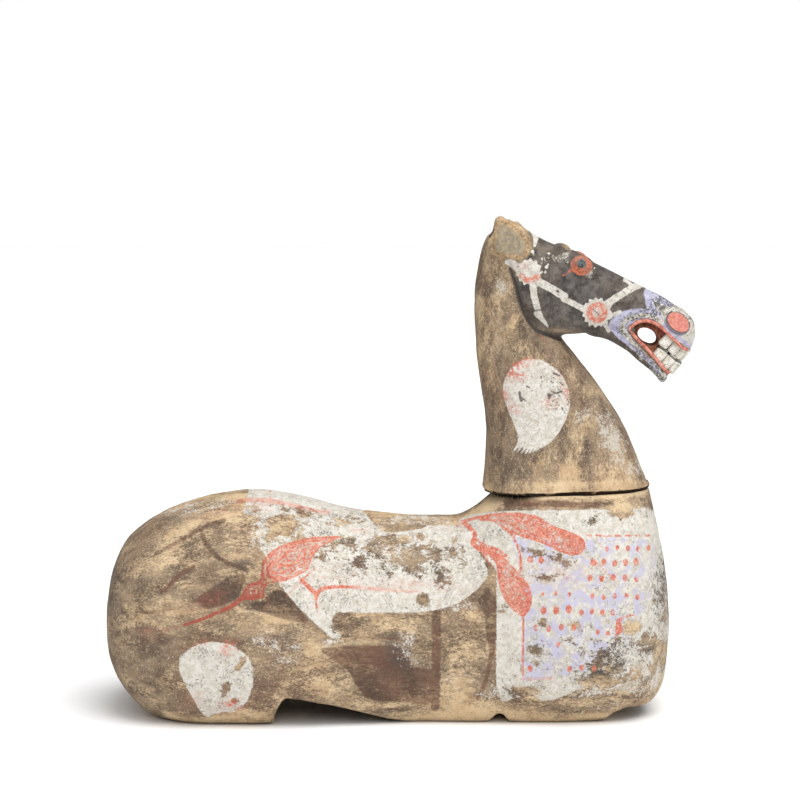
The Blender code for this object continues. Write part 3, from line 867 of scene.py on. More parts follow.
FAINT_CORAL_LINES = (
    (((238, 501), (252, 500), (267, 500.5), (285.5, 503.5), (304, 508), (328, 512.5)), 5, 4),
    (((350, 586.8), (370, 588.5), (392, 590.2), (418, 592)), 4, 3),
    (((184, 625), (172, 628), (160, 630.5)), 2.4, 1.6), (((286, 597), (292, 590.5), (300, 583)), 2.2, 2.2),
    (((352, 530.7), (360, 530), (368, 531)), 2.4, 2), (((268, 598), (268.5, 605), (264, 611)), 2, 1.6),
    (((521.5, 679), (536, 679), (552, 678.3)), 3, 3), (((316.8, 608), (319, 616)), 2.4, 1.6),
)
TASSEL_LINES = (
    (((330, 540), (316, 543), (300, 549), (288, 558)), 1.6, 1.4),
    (((310, 560), (298, 570), (284, 577)), 1.5, 1.5),
    (((507, 562), (514, 572), (516, 584), (511, 596)), 1.5, 1.5),
    (((490, 517.5), (508, 520), (524, 527), (536, 535)), 2.2, 1.6),
    (((500, 524), (514, 530), (528, 535.5)), 2, 1.4), (((545, 527), (551, 534), (549, 544)), 1.5, 1.3),
    (((556, 530), (561, 538), (559, 549)), 1.5, 1.3),
)
DARK_LINES = (
    (((200, 527), (204, 539), (210, 549), (221, 559.5), (233, 565), (247, 570)), 4.6, 4.6),
    (((156, 554), (168, 547), (180, 540.5), (200, 529), (224, 520)), 4, 4.6),
    (((162, 592), (171, 584), (180, 575), (194, 567)), 5, 4),
    (((436, 606), (436.4, 640), (436, 676), (435, 706)), 9, 9.4),
    (((487, 590), (490, 607), (493, 630), (490, 663), (485, 682), (478, 699)), 5.5, 3.5),
    (((340, 636.5), (362, 637.5), (383, 637.5), (418, 641)), 3, 2.6),
    (((508, 503), (540, 503), (580, 505), (612, 504)), 9, 4),
    (((142, 613), (160, 611), (183, 607)), 2.4, 1.6),
)
TRUNK_LINES = {"coral": CORAL_LINES, "faint": FAINT_CORAL_LINES, "cream": TASSEL_LINES, "dark": DARK_LINES}
# Rows of dots: the first one's place, how many, how far apart and how wide.
DOT_ROWS = (
    ((607, 548.5), 5, 10.4, 2.2), ((530, 559.4), 2, 11.3, 2.8), ((593, 562.5), 5, 10.8, 2.7),
    ((590, 578), 5, 11.6, 2.6), ((567.5, 578.3), 1, 0, 1.8), ((542.5, 594), 3, 13.4, 2.0),
    ((592.6, 596.5), 5, 11.2, 2.3), ((543.6, 610), 3, 12.6, 3.2), ((581.5, 612), 4, 10.4, 2.5),
    ((536, 628), 4, 12.6, 2.6), ((598, 633), 3, 9.6, 2.2), ((558.2, 645.3), 1, 0, 2.4),
    ((530, 668.5), 1, 0, 2.7), ((569.4, 668.5), 3, 12.4, 2.5),
)
DOT_TALL = 1.45
DOT_SWAY = 0.8
DASHES = {"row": ((586, 535.6), 7, 9.9), "length": 6.4, "width": 2.4, "shortening": 0.07}
# Cream curls inside the tassels: centre, first and last radius, first angle and turns.
TASSEL_CURLS = (
    ((276.4, 566.6), 2.2, 12, 200, -1.15), ((306, 551), 2, 7, 20, -0.9), ((252, 592), 1.5, 5.5, 100, 0.8),
    ((520.5, 599), 2, 8.5, 60, -1.0), ((505, 573), 2, 8, 200, 0.8), ((567, 543), 2, 8, 150, 0.9),
    ((535, 525), 1.5, 6, 0, 0.8),
)
CURL_WIDTHS = (1.7, 1.5)
# Soft places: centre u and v, reach along and across, strength and, where it leans, its tilt.
TRUNK_PLACES = {
    "bare": (
        (485, 506, 22, 9, 1, -25), (622, 508, 15, 11, 1.1), (662, 690, 14, 14, 1), (634, 628, 11, 9, 1.2),
        (175, 545, 50, 26, 0.45, -30), (455, 640, 22, 40, 0.4), (630, 690, 40, 10, 0.9),
        (240, 500, 20, 6, 0.3), (232, 514, 16, 6, 0.9, -15), (258, 613, 26, 2.6, 0.9, 14),
        (162, 628, 16, 3, 0.8, 20), (207, 629, 14, 3.4, 0.9, 12), (281, 700, 10, 14, 0.9, 20),
        (160, 560, 24, 12, 0.35, -30), (232, 545, 18, 12, 0.45), (194, 545, 26, 16, 0.45),
        (320, 690, 22, 16, 0.45, 30), (462, 660, 20, 30, 0.55), (380, 624, 46, 7, 0.3),
        (450, 620, 30, 9, 0.35), (310, 655, 16, 14, 0.35), (136, 650, 16, 22, 0.25), (600, 700, 60, 8, 1),
        (560, 693, 20, 9, 0.7), (470, 500, 12, 8, 0.8), (400, 706, 60, 5, 0.7), (165, 666, 14, 10, 0.3, 30),
        (150, 695, 30, 7, 0.8, 40),
    ),
    "thick": (
        (250, 640, 40, 20, 0.4, 10), (165, 655, 46, 44, 1), (118, 600, 14, 60, 0.7),
        (208, 592, 36, 18, 0.9, -25), (270, 655, 26, 30, 0.5), (250, 612, 20, 12, 0.9, 30),
        (340, 625, 50, 8, 0.7), (398, 660, 20, 34, 0.8), (340, 504, 24, 5, 0.5),
        (130, 540, 20, 20, 0.4, -45),
    ),
    "dust": (
        (415, 520, 44, 6, 1), (190, 508, 50, 7, 0.7, -8), (600, 705, 50, 8, 0.4), (284, 650, 24, 20, 0.6),
        (262, 640, 18, 9, 0.5), (408, 650, 15, 20, 0.7), (455, 606, 22, 8, 0.8), (366, 526, 24, 6, 0.9),
        (650, 672, 30, 24, 1.1), (590, 690, 34, 8, 0.9), (628, 656, 22, 14, 1.3), (258, 532, 12, 18, 1.1),
        (330, 642, 16, 4, 1), (390, 556, 26, 16, 0.9), (500, 692, 20, 8, 1), (456, 680, 20, 14, 0.5),
        (660, 600, 10, 40, 1),
    ),
    "mottled": (
        (298, 562, 50, 26, 1, -30), (506, 524, 34, 13, 1.1, 22), (508, 578, 20, 34, 0.7, 15),
        (562, 543, 24, 12, 0.45, 20),
    ),
    "worn": (
        (622, 510, 11, 7, 1.6), (400, 556, 36, 18, 0.7), (298, 540, 16, 8, 0.6),
        (282, 528, 24, 14, 0.85, -15), (300, 512, 30, 6, 0.6, 10), (345, 520, 20, 8, 0.5),
        (254, 530, 10, 22, 0.9), (340, 545, 30, 12, 0.5), (336, 630, 10, 8, 0.5), (668, 560, 8, 40, 0.6),
        (382, 548, 20, 13, 1), (410, 560, 20, 16, 0.95, 20), (362, 562, 9, 9, 0.75),
        (436, 556, 8, 12, 0.75), (441, 578, 10, 14, 0.7), (352, 541, 9, 6, 0.7), (424, 599.5, 6.5, 6, 1.2),
        (455, 552, 14, 20, 0.5), (322, 556, 9, 8, 0.5), (271, 522, 8, 7, 0.95, 20), (284, 517, 10, 5, 0.8),
        (262, 508, 5, 5, 0.2), (240, 665, 9, 3.4, 1, -50), (226, 688, 5, 7, 1, 20), (234, 700, 4, 4, 0.9),
        (656, 678, 34, 20, 1), (606, 665, 22, 18, 0.75), (600, 681, 20, 9, 1.15), (650, 645, 26, 14, 0.75),
        (633, 628, 10, 8, 1.05), (664, 655, 16, 16, 0.9), (664, 600, 9, 30, 0.75),
        (536, 552, 16, 4, 0.7, 8), (560, 562, 12, 8, 0.6), (548, 578, 12, 4, 0.85),
        (592, 521, 8, 4, 0.8, -30), (534, 650, 9, 5, 0.7), (575, 625, 12, 6, 0.6), (541, 622, 5, 6, 0.8),
        (522, 690, 24, 7, 0.75), (568, 640, 10, 6, 0.5), (536, 664, 5, 3, 0.9, 30), (650, 505, 14, 7, 0.8),
        (502, 610, 8, 4, 0.6, 30), (616, 652, 16, 14, 0.7), (400, 545, 50, 16, 0.45, 5),
    ),
    "soot": (
        (396, 655, 9, 14, 1, -20), (438, 574, 9, 16, 0.8), (424, 599.5, 7, 6, 0.9), (663, 592, 11, 36, 1.3),
        (612, 660, 18, 18, 1.4, 30), (598, 672, 18, 9, 1.4), (640, 650, 16, 8, 0.7),
        (655, 665, 14, 16, 0.5), (565, 560, 12, 6, 0.5), (550, 556, 22, 8, 0.8), (548, 578, 14, 5, 0.9),
        (592, 521, 10, 6, 0.9, -30), (538, 648, 12, 6, 0.7), (541, 622, 6, 7, 0.8), (650, 502, 16, 10, 0.8),
        (115, 590, 8, 50, 0.45), (246, 565, 9, 7, 0.9, -20), (222, 582, 12, 6, 0.6, -30),
        (232, 596, 9, 7, 0.7), (300, 640, 18, 9, 0.3), (297, 657, 9, 10, 0.4), (622, 645, 10, 10, 0.6),
        (352, 541, 14, 6, 0.6), (360, 562, 12, 12, 0.6),
    ),
    "red": (
        (226, 650, 6, 5, 1.3, 30), (232, 704, 8, 4, 1.3, -15), (230, 644, 9, 6, 1, 20),
        (232, 707, 12, 5, 1), (222, 652, 4, 7, 0.6), (200, 644, 14, 3, 0.5, -20),
        (195, 700, 8, 12, 0.35, 60), (210, 600, 20, 8, 0.5, -25), (150, 632, 14, 6, 0.5),
        (262, 505, 12, 8, 0.4), (330, 575, 30, 14, 0.22), (560, 572, 40, 20, 0.2), (460, 525, 12, 5, 0.5),
        (450, 588, 16, 6, 0.25), (222, 512, 22, 5, 0.5, -15), (400, 585, 46, 5, 0.4),
    ),
}


def curl(centre, first, last, angle, turns):
    """Points of a spiral from its inner end outwards."""
    count = max(5, int(abs(turns) * 10))
    points = []
    for i in range(count + 1):
        share = i / count
        turn = math.radians(angle) + share * turns * 2 * math.pi
        radius = first + (last - first) * share
        points.append((centre[0] + radius * math.cos(turn), centre[1] + radius * math.sin(turn)))
    return points


def falloff(field, half_width):
    """1 in the middle of a line's field, and smoothly 0 at its edge."""
    share = np.clip(field / half_width, 0, 1)
    return share * share * (3 - 2 * share)


def foot_share(points):
    """0 at the rear end of the neck's foot and 1 at its front end."""
    return np.clip((points[:, 0] - SEAT_X) / (2 * FOOT_REACH[0]) + 0.5, 0, 1)


def seat_rise(points):
    return SEAT_RISE * foot_share(points) ** 0.6


def make_trunk():
    shell = loft(
        "trunk_form", TRUNK_STATIONS, TRUNK_MESH, TRUNK_WIDEST, TRUNK_SQUARENESS, trunk_place,
        with_flank_crease,
    )
    width = TRUNK_WIDTH / 2 + CUT_MARGIN
    outlines = {"groin": GROIN_OUTLINE, "girth": GIRTH_OUTLINE, "brisket": BRISKET_OUTLINE}
    cutters = [extruded(f"{name}_cut", outline, trunk_place, width) for name, outline in outlines.items()]
    for name, hollow in HOLLOW_BETWEEN_LEGS.items():
        middle = (hollow["from_x"] + hollow["to_x"]) / 2
        radii = ((hollow["to_x"] - hollow["from_x"]) / 2, hollow["half_width"], hollow["height"])
        cutters.append(round_solid(f"{name}_cut", ROUND_SIDES, trunk_place, (middle, 0, 0), radii, 0))
    reach = TRUNK_LENGTH / 2 + CUT_MARGIN
    centre = RUMP_X + TRUNK_LENGTH / 2
    cutters.append(box("floor_cut", (centre - reach, -width, -CUT_MARGIN), (centre + reach, width, 0)))
    seat_rear = RUMP_X + LOWEST_OF_BACK * TRUNK_UNIT
    high = (centre + reach, width, SEAT_HEIGHT + CUT_MARGIN)
    cutters.append(box("seat_cut", (seat_rear, -width, SEAT_HEIGHT), high))
    trunk = fired("trunk_fired_clay", [shell], cutters, TRUNK_VOXEL, 3)
    mesh = trunk.data
    points, normals = points_of(mesh), points_of(mesh, "normal")
    plan = Plan(points)
    groin = plan.blank()
    plan.line(groin, GROIN_FOLD["line"], *GROIN_FOLD["widths"])
    points = pushed(points, normals, -GROIN_FOLD["depth"] * falloff(groin, GROIN_FOLD["widths"][0] / 2))
    points = uneven(points, normals, TRUNK_UNEVEN)
    sides = normals[:, 2] > FACES_DOWN
    low = np.clip(1 - points[:, 2] / RAGGED_BELOW, 0, 1) * sides
    points = roughened(points, normals, low, *RAGGED_FOOT)
    foot = np.clip(1 - points[:, 2] / FLOOR_EDGE["height"], 0, 1) * sides
    points = pushed(points, normals * (1, 1, 0), -FLOOR_EDGE["inset"] * foot)
    points[:, 2] = np.clip(points[:, 2], 0, None)
    over_seat = points[:, 0] > seat_rear
    points[over_seat, 2] = np.minimum(points[over_seat, 2], SEAT_HEIGHT)
    near_seat = np.clip((points[:, 2] - SEAT_HEIGHT) / SEAT_EDGE + 1, 0, 1) * over_seat
    points[:, 2] += near_seat * seat_rise(points)
    set_points(mesh, points)
    paint_trunk(mesh)
    smooth_shaded(trunk)
    return trunk


def paint_trunk(mesh):
    points, normals = points_of(mesh), points_of(mesh, "normal")
    plan = Plan(points)
    fields = painted_fields(plan, TRUNK_AREAS, TRUNK_LINES, TRUNK_PLACES)
    for (u, v), count, step, radius in DOT_ROWS:
        for i in range(count):
            sway = DOT_SWAY * math.sin(2.1 * i + v)
            plan.disc(fields["coral"], (u + i * step, v + sway), radius * DOT_TALL, 1 / DOT_TALL, 90)
    (u, v), count, step = DASHES["row"]
    for i in range(count):
        start, length = u + i * step, DASHES["length"] * (1 - DASHES["shortening"] * i)
        plan.line(fields["coral"], ((start, v), (start + length, v)), DASHES["width"], DASHES["width"])
    for kind in TASSEL_CURLS:
        plan.line(fields["cream"], curl(*kind), *CURL_WIDTHS)
    low = np.clip(1 - points[:, 2] / LOW_CLAY, 0, 1)
    on_seat = points[:, 2] - SEAT_HEIGHT - seat_rise(points)
    rim = np.clip(on_seat / SEAT_RIM["height"] + 1, 0, 1) * (points[:, 0] > SEAT_RIM["from_x"])
    # The low band is bare clay and painted light too: through the bare field it lightens the clay along the
    # bottom edge.
    fields["bare"] = np.maximum.reduce([fields["bare"], 1.2 * low, 1.2 * rim])
    # Painted shade: the seat beneath the neck's foot is darkened, where the open joint lies in shade.
    along, across = (points[:, 0] - SEAT_X) / FOOT_REACH[0], points[:, 1] / FOOT_REACH[1]
    under_foot = 1 - np.abs(along) ** 2.4 - np.abs(across) ** 2.4
    fields["joint"] = np.clip(under_foot / 0.2, 0, 1) * (on_seat > -0.004)
    # Painted shade: the belly's underside, where it faces the floor, is darkened.
    fields["under"] = np.clip((FACES_DOWN - normals[:, 2]) / 0.15, 0, 1) * (points[:, 2] < SHADED_UNDERSIDE_HEIGHT)
    keep_fields(mesh, fields)


def worn_ground(look, stretch, seed, grit, softness):
    """How much of the brown ground is left, in patches, streaks and specks drawn out by stretch."""
    patch = look.noise(0.05, 4, 0.6, stretch, 0.5, seed)
    streak = look.noise(0.011, 6, 0.74, [s**1.4 for s in stretch], 0.3, seed + 1)
    speck = look.noise(0.0025, 5, 0.85, stretch, 0.2, seed + 2)
    kept = patch * 0.85 + streak * (0.6 * grit) + speck * grit
    kept = kept - look.field("bare") * 0.16 + look.field("thick") * 0.12
    middle = (0.85 + 1.6 * grit) / 2 - 0.058
    return kept.step(middle - softness, middle + softness)


def grained(look, ground, seed, share):
    """Fine grains of bare clay, over a share of the worn ground, and of dirt."""
    lit = look.noise(0.0021, 3, 0.85, seed=seed).step(0.57, 0.66, 0, 0.6)
    dirty = look.noise(0.0024, 3, 0.85, seed=seed + 1).step(0.57, 0.66, 0, 0.6)
    return look.mix(dirty, look.mix(lit * share, ground, GLINT), DARK_BROWN)


def dusted(look, colour, dust, seed):
    """Whitish specks over a colour where the field called dust says so."""
    place = look.field("dust")
    speck = look.noise(0.0022, 4, 0.85, seed=seed) * 0.6 + look.noise(0.012, 5) * 0.4 + place * 0.10
    return look.mix(speck.step(0.58, 0.63, 0, 0.85) * place.step(0.1, 0.4), colour, dust)


def trunk_look():
    """Buff clay, worn brown ground, dark strokes, white cloths, lavender, coral, soot and painted shade in
    layers.
    """
    look = Look("painted_trunk_clay", 0.88)
    fine = look.noise(0.005, 6, 0.75, (1.5, 1, 0.85), seed=3)
    grain = look.noise(0.0012, 2, 0.6, seed=9)
    broad = look.noise(0.09, 3, 0.5, seed=2)
    edge = (look.noise(0.007, 6, 0.75, seed=1) - 0.5) * 6
    cloth, tassel, worn = look.field("white"), look.field("coral"), look.field("worn")

    # Clay is lighter where bare; along the bottom edge that is painted light.
    lit = look.noise(0.02, 6, 0.65) + look.field("bare") * 0.12
    clay = look.mix(lit.step(0.35, 0.65), *CLAY)
    brown = look.mix(look.noise(0.022, 6, 0.7, (2, 1, 1), seed=4).step(0.36, 0.64), *BROWN)
    brown = look.mix(broad.step(0.45, 0.62, 0, 0.4), brown, RED_BROWN)
    ground_on = worn_ground(look, (1.6, 1, 0.78), 41, 1, 0.12)
    ground = grained(look, look.mix(ground_on, clay, brown), 61, 1)
    stroke = (look.field("dark") + edge * 0.7).step(-1.2, 1.2)
    stroke = stroke * fine.step(0.36, 0.60, 1, 0.7) * ground_on.step(0, 0.6, 0.72, 0.95)
    ground = look.mix(stroke, ground, look.mix(broad.step(0.40, 0.60), RED_BROWN, DARK_BROWN))
    sooty = look.field("soot") * fine.step(0.36, 0.58)
    ground = look.mix(look.math("MINIMUM", sooty * 0.8, 0.9), ground, SOOT)
    ground = dusted(look, ground, WHITE[1], 51)

    pepper = look.noise(0.0022, 4, 0.85, seed=19)
    flake = look.noise(0.011, 7, 0.76, seed=7) * 0.52 + fine * 0.26 + pepper * 0.22 + worn * 0.20
    ragged = (look.noise(0.02, 6, 0.7, seed=18) - 0.5) * 22 * worn + edge
    white_on = (cloth + ragged).step(-0.5, 0.5) * (1 - flake.step(0.568, 0.600))
    white = look.mix(look.noise(0.006, 6, 0.8, seed=8).step(0.40, 0.60), *WHITE)
    grey = (pepper + look.noise(0.02, 4) * 0.5).step(0.80, 0.88, 0, 0.7)
    white = look.mix(grey * broad.step(0.38, 0.6, 0.45, 1), white, SOOT)
    spot = look.noise(0.006, 6, 0.8, seed=12) * 0.7 + pepper * 0.3 + sooty * 0.16
    white = look.mix(spot.step(0.585, 0.63) * 0.85, white, SOOT)

    violet_on = (look.field("lavender") + edge).step(-0.5, 0.8)
    violet_on = violet_on * look.noise(0.015, 7, 0.76, seed=14).step(0.46, 0.56)
    violet = look.mix(look.noise(0.01, 3), *LAVENDER)
    colour = look.mix(white_on, ground, look.mix(violet_on * 0.85, white, violet))

    coral = look.mix(look.noise(0.006, 5, 0.7, seed=15).step(0.38, 0.62), *CORAL)
    coral = look.mix(cloth.step(-6, -1), RUST, coral)
    colour = look.mix(look.field("red") * fine.step(0.42, 0.60) * 0.8, colour, coral)
    faint_on = (look.field("faint") + edge * 0.4).step(-0.9, 1.4, 0, 0.62)
    colour = look.mix(faint_on * fine.step(0.34, 0.56, 0.3, 1), colour, coral)
    cream_on = (look.field("cream") + edge * 0.2).step(-0.5, 0.3, 0, 0.85)
    flow = tassel + look.noise(0.016, 3, 0.5, (1.2, 1, 0.9), seed=16) * 20
    pale = look.math("SINE", flow * 1.5).step(-0.15, 0.65, 0, 0.9) * tassel.step(1.0, 2.4)
    pale = pale * fine.step(0.30, 0.46, 0.4, 1) * look.field("mottled")
    hair = look.mix(look.most(cream_on, pale), coral, look.mix(fine.step(0.42, 0.58), PINK, CREAM))
    hair = look.mix(pepper.step(0.55, 0.62, 0, 0.6), hair, RED_BROWN)
    rubbed = look.noise(0.009, 7, 0.78, seed=17).step(0.55, 0.60, 0, 0.8)
    coral_on = (tassel + edge * 0.32).step(-0.35, 0.5) * (1 - rubbed) * pepper.step(0.40, 0.50, 0.6, 1)
    colour = look.mix(coral_on, colour, hair)

    # Painted shade: the seat beneath the neck's foot and the belly's underside, which faces the floor, are
    # darkened.
    colour = look.mix(look.most(look.field("joint"), look.field("under") * 0.6), colour, PAINTED_SHADE_DARK)
    relief = look.most(white_on, coral_on) * 0.22 + ground_on * 0.10 + fine * 0.35 + grain * 0.16
    return look.finish(colour, relief, RELIEF_DEPTH)


# The head's painted shapes on the same plan.
DARK_FACE = (
    (529, 214), (530, 232), (531, 250), (522, 262), (514.5, 276), (516, 291), (521, 307), (531, 324),
    (546, 335), (566, 339), (600, 346), (640, 392), (700, 400), (720, 300), (640, 240),
)
LAVENDER_AREAS = (
    (
        (644, 291), (650, 288.5), (662, 291), (673, 298), (674, 306), (664, 305), (656, 301), (653, 300),
        (655, 305), (658, 311), (662, 316), (654, 316), (648, 311), (645, 301),
    ),
    (
        (609, 327), (612, 319), (621, 312), (632, 309), (643, 309), (652, 313), (662, 316), (666, 325),
        (676, 334), (690, 344), (693, 354), (684, 345), (668, 333), (660, 326), (654, 322), (644, 321),
        (635, 322), (627, 328), (630, 336), (641, 346), (651, 354), (658, 362), (664, 370), (657, 373),
        (649, 364), (639, 355), (627, 345), (615, 335),
    ),
)
PALE_AREAS = (
    (
        (645, 281), (668, 289), (684, 300), (699, 316), (705, 330), (700, 344), (694, 354), (684, 346),
        (670, 334), (662, 326), (655, 318), (656, 306), (652, 297), (646, 290),
    ),
    (
        (660, 362), (672, 368), (672, 382), (662, 388), (654, 376), (656, 368),
    ),
)
NECK_SPOT = (
    (530, 359), (519, 362), (508, 373), (503, 388), (506, 405), (513, 422), (518, 437), (517, 448),
    (522, 447), (530, 449), (546, 445), (557, 435), (566, 419), (570, 403), (568, 388), (561, 374),
    (549, 364), (540, 360),
)
EAR_PATCH = (
    (494.9, 225.3), (500.2, 220), (509.4, 223), (520.9, 231.4), (528.6, 240.6), (530, 249.8), (524, 257.4),
    (513.3, 259), (504, 257.4), (494.9, 255.1), (490.3, 248.3), (492.6, 236.8),
)
HEAD_AREAS = {
    "face": (DARK_FACE,), "lavender": LAVENDER_AREAS, "white": (NECK_SPOT, *PALE_AREAS), "ear": (EAR_PATCH,),
}
CREASE = ((510, 268), (514, 280), (517, 292), (521, 305), (526, 317), (535, 329), (546, 334), (560, 339))
LIP_GROOVE = ((632, 343), (644, 354), (653, 366), (661, 378))
# The brush left a fringe of fine strokes along the low edge of the neck's spot.
BRISTLE_FOOT = open_curve(((519, 444), (531, 445.5), (543, 442.5), (553, 437)), 3)
BRISTLES = tuple((((u, v), (u - 6, v + 8)), 3, 1) for u, v in BRISTLE_FOOT)
STRAPS = (
    (((535, 232.5), (535.8, 238), (534.8, 246)), 8, 2.6),
    (((540.5, 282.8), (552, 289.2), (564.5, 296.4)), 8, 7.6),
    (((564, 299), (574, 304), (584, 309.5)), 6, 5.6),
    (((533.2, 287), (534.8, 299), (537.8, 309)), 7.2, 6.4),
    (((537.6, 313), (542, 319), (548, 326.5)), 7.6, 2),
    (((606, 304.4), (620, 295.4), (634, 287), (647, 282)), 7, 7), (((625, 280), (634, 286)), 4, 3),
    (((507, 262), (512, 266), (519, 272)), 4.4, 3.6), (((510, 261), (518, 265)), 4.4, 3.6),
    (((610, 316), (620, 312)), 4.4, 3.6), (((604, 323), (609, 331)), 4.4, 3.6),
)
RED_LINES = (
    (((512, 366), (524, 359.5), (536, 359.5)), 2.6, 1.4), (((503.5, 392), (505, 400)), 1.8, 1),
    (((540, 334), (546, 344), (549, 357)), 1, 0.8), (((571, 270), (566, 274), (562, 276)), 3, 1),
    (((522, 276.5), (527, 279.8), (533, 280), (538, 276.4)), 6.4, 6.4),
)
# Dark lines: painted shade in the poll hole first, then splits, bites and brush marks in the paint.
DARK_MARKS = (
    (((492.8, 229.5), (491.5, 233), (490, 236)), 3.4, 2.6),
    (((593.5, 309.5), (597, 313), (601, 317.5)), 1.5, 1.2),
    (((519.5, 392), (520, 397), (521, 401)), 2.6, 2.2), (((520, 397), (526, 401)), 2.2, 1.8),
    (((549, 398), (553, 394), (559, 393)), 1.4, 0.8), (((552, 402), (556, 399)), 1.2, 0.8),
    (((527, 386.4), (529.5, 387.6)), 2, 1.4), (((548.4, 394), (549, 399)), 2.6, 2),
    (((554, 373.5), (560, 376)), 2, 1.4), (((541, 376.6), (542, 379)), 1.8, 1.2),
    (((551, 381.4), (553, 383)), 1.8, 1.2), (((562, 408), (563.6, 411)), 2, 1.2),
    (((567.6, 399), (569, 403)), 1.8, 1.2), (((557, 393), (562, 391)), 2.4, 1.4),
    (((560, 382), (564, 386)), 1.6, 1),
    (((657, 346), (664, 349.5), (670, 355), (677, 361), (682, 363)), 2.4, 1.6),
    (((617, 294.5), (620, 299)), 0.9, 0.7), (((623, 291), (626, 295.5)), 0.9, 0.7),
    (((611, 299), (613, 303)), 0.8, 0.6), (((529, 300), (537, 299)), 0.9, 0.7),
    (((531, 305), (538, 304)), 0.8, 0.6), (((546, 283), (556, 289)), 0.8, 0.6),
    (((533, 311), (541, 310)), 1.6, 1.6), (((574, 303.5), (581, 307)), 0.9, 0.6),
)
# Worn pale bands along the lips, over the lavender.
LIP_BANDS = (
    (((624, 333), (622, 326), (628, 319), (640, 315.5), (652, 317), (662, 322)), 5, 5),
    (((623, 331), (632, 341), (645, 351), (655, 361), (664, 373)), 5.5, 5),
)
HEAD_LINES = {
    "cream": STRAPS, "coral": RED_LINES, "marks": DARK_MARKS, "bands": LIP_BANDS, "white": BRISTLES,
    "crease": ((CREASE, 3, 4.4),),
}
# Rosettes: centre, radius and petals. The second has a coral ring.
ROSETTES = (((529, 272), 12.6, 13), ((597, 312.4), 14.2, 15))
PETAL_DEPTH = 1.3
ROSETTE_RING = {"outer": 10.8, "inner": 4.6}
# Crumbs of white paint: the centre and the radius.
CRUMBS = (
    ((532.5, 251.5), 1.7), ((533.4, 254.5), 1.1), ((548.8, 253.6), 1.3), ((542, 259), 1.2),
    ((541.5, 263), 0.9), ((546.5, 267), 1.8), ((545, 272), 1.5), ((548, 264.5), 1), ((566, 257), 1.2),
    ((567.5, 262), 0.9), ((568, 253), 0.8), ((594.5, 268), 1), ((592, 273), 0.8), ((553, 256), 0.9),
)
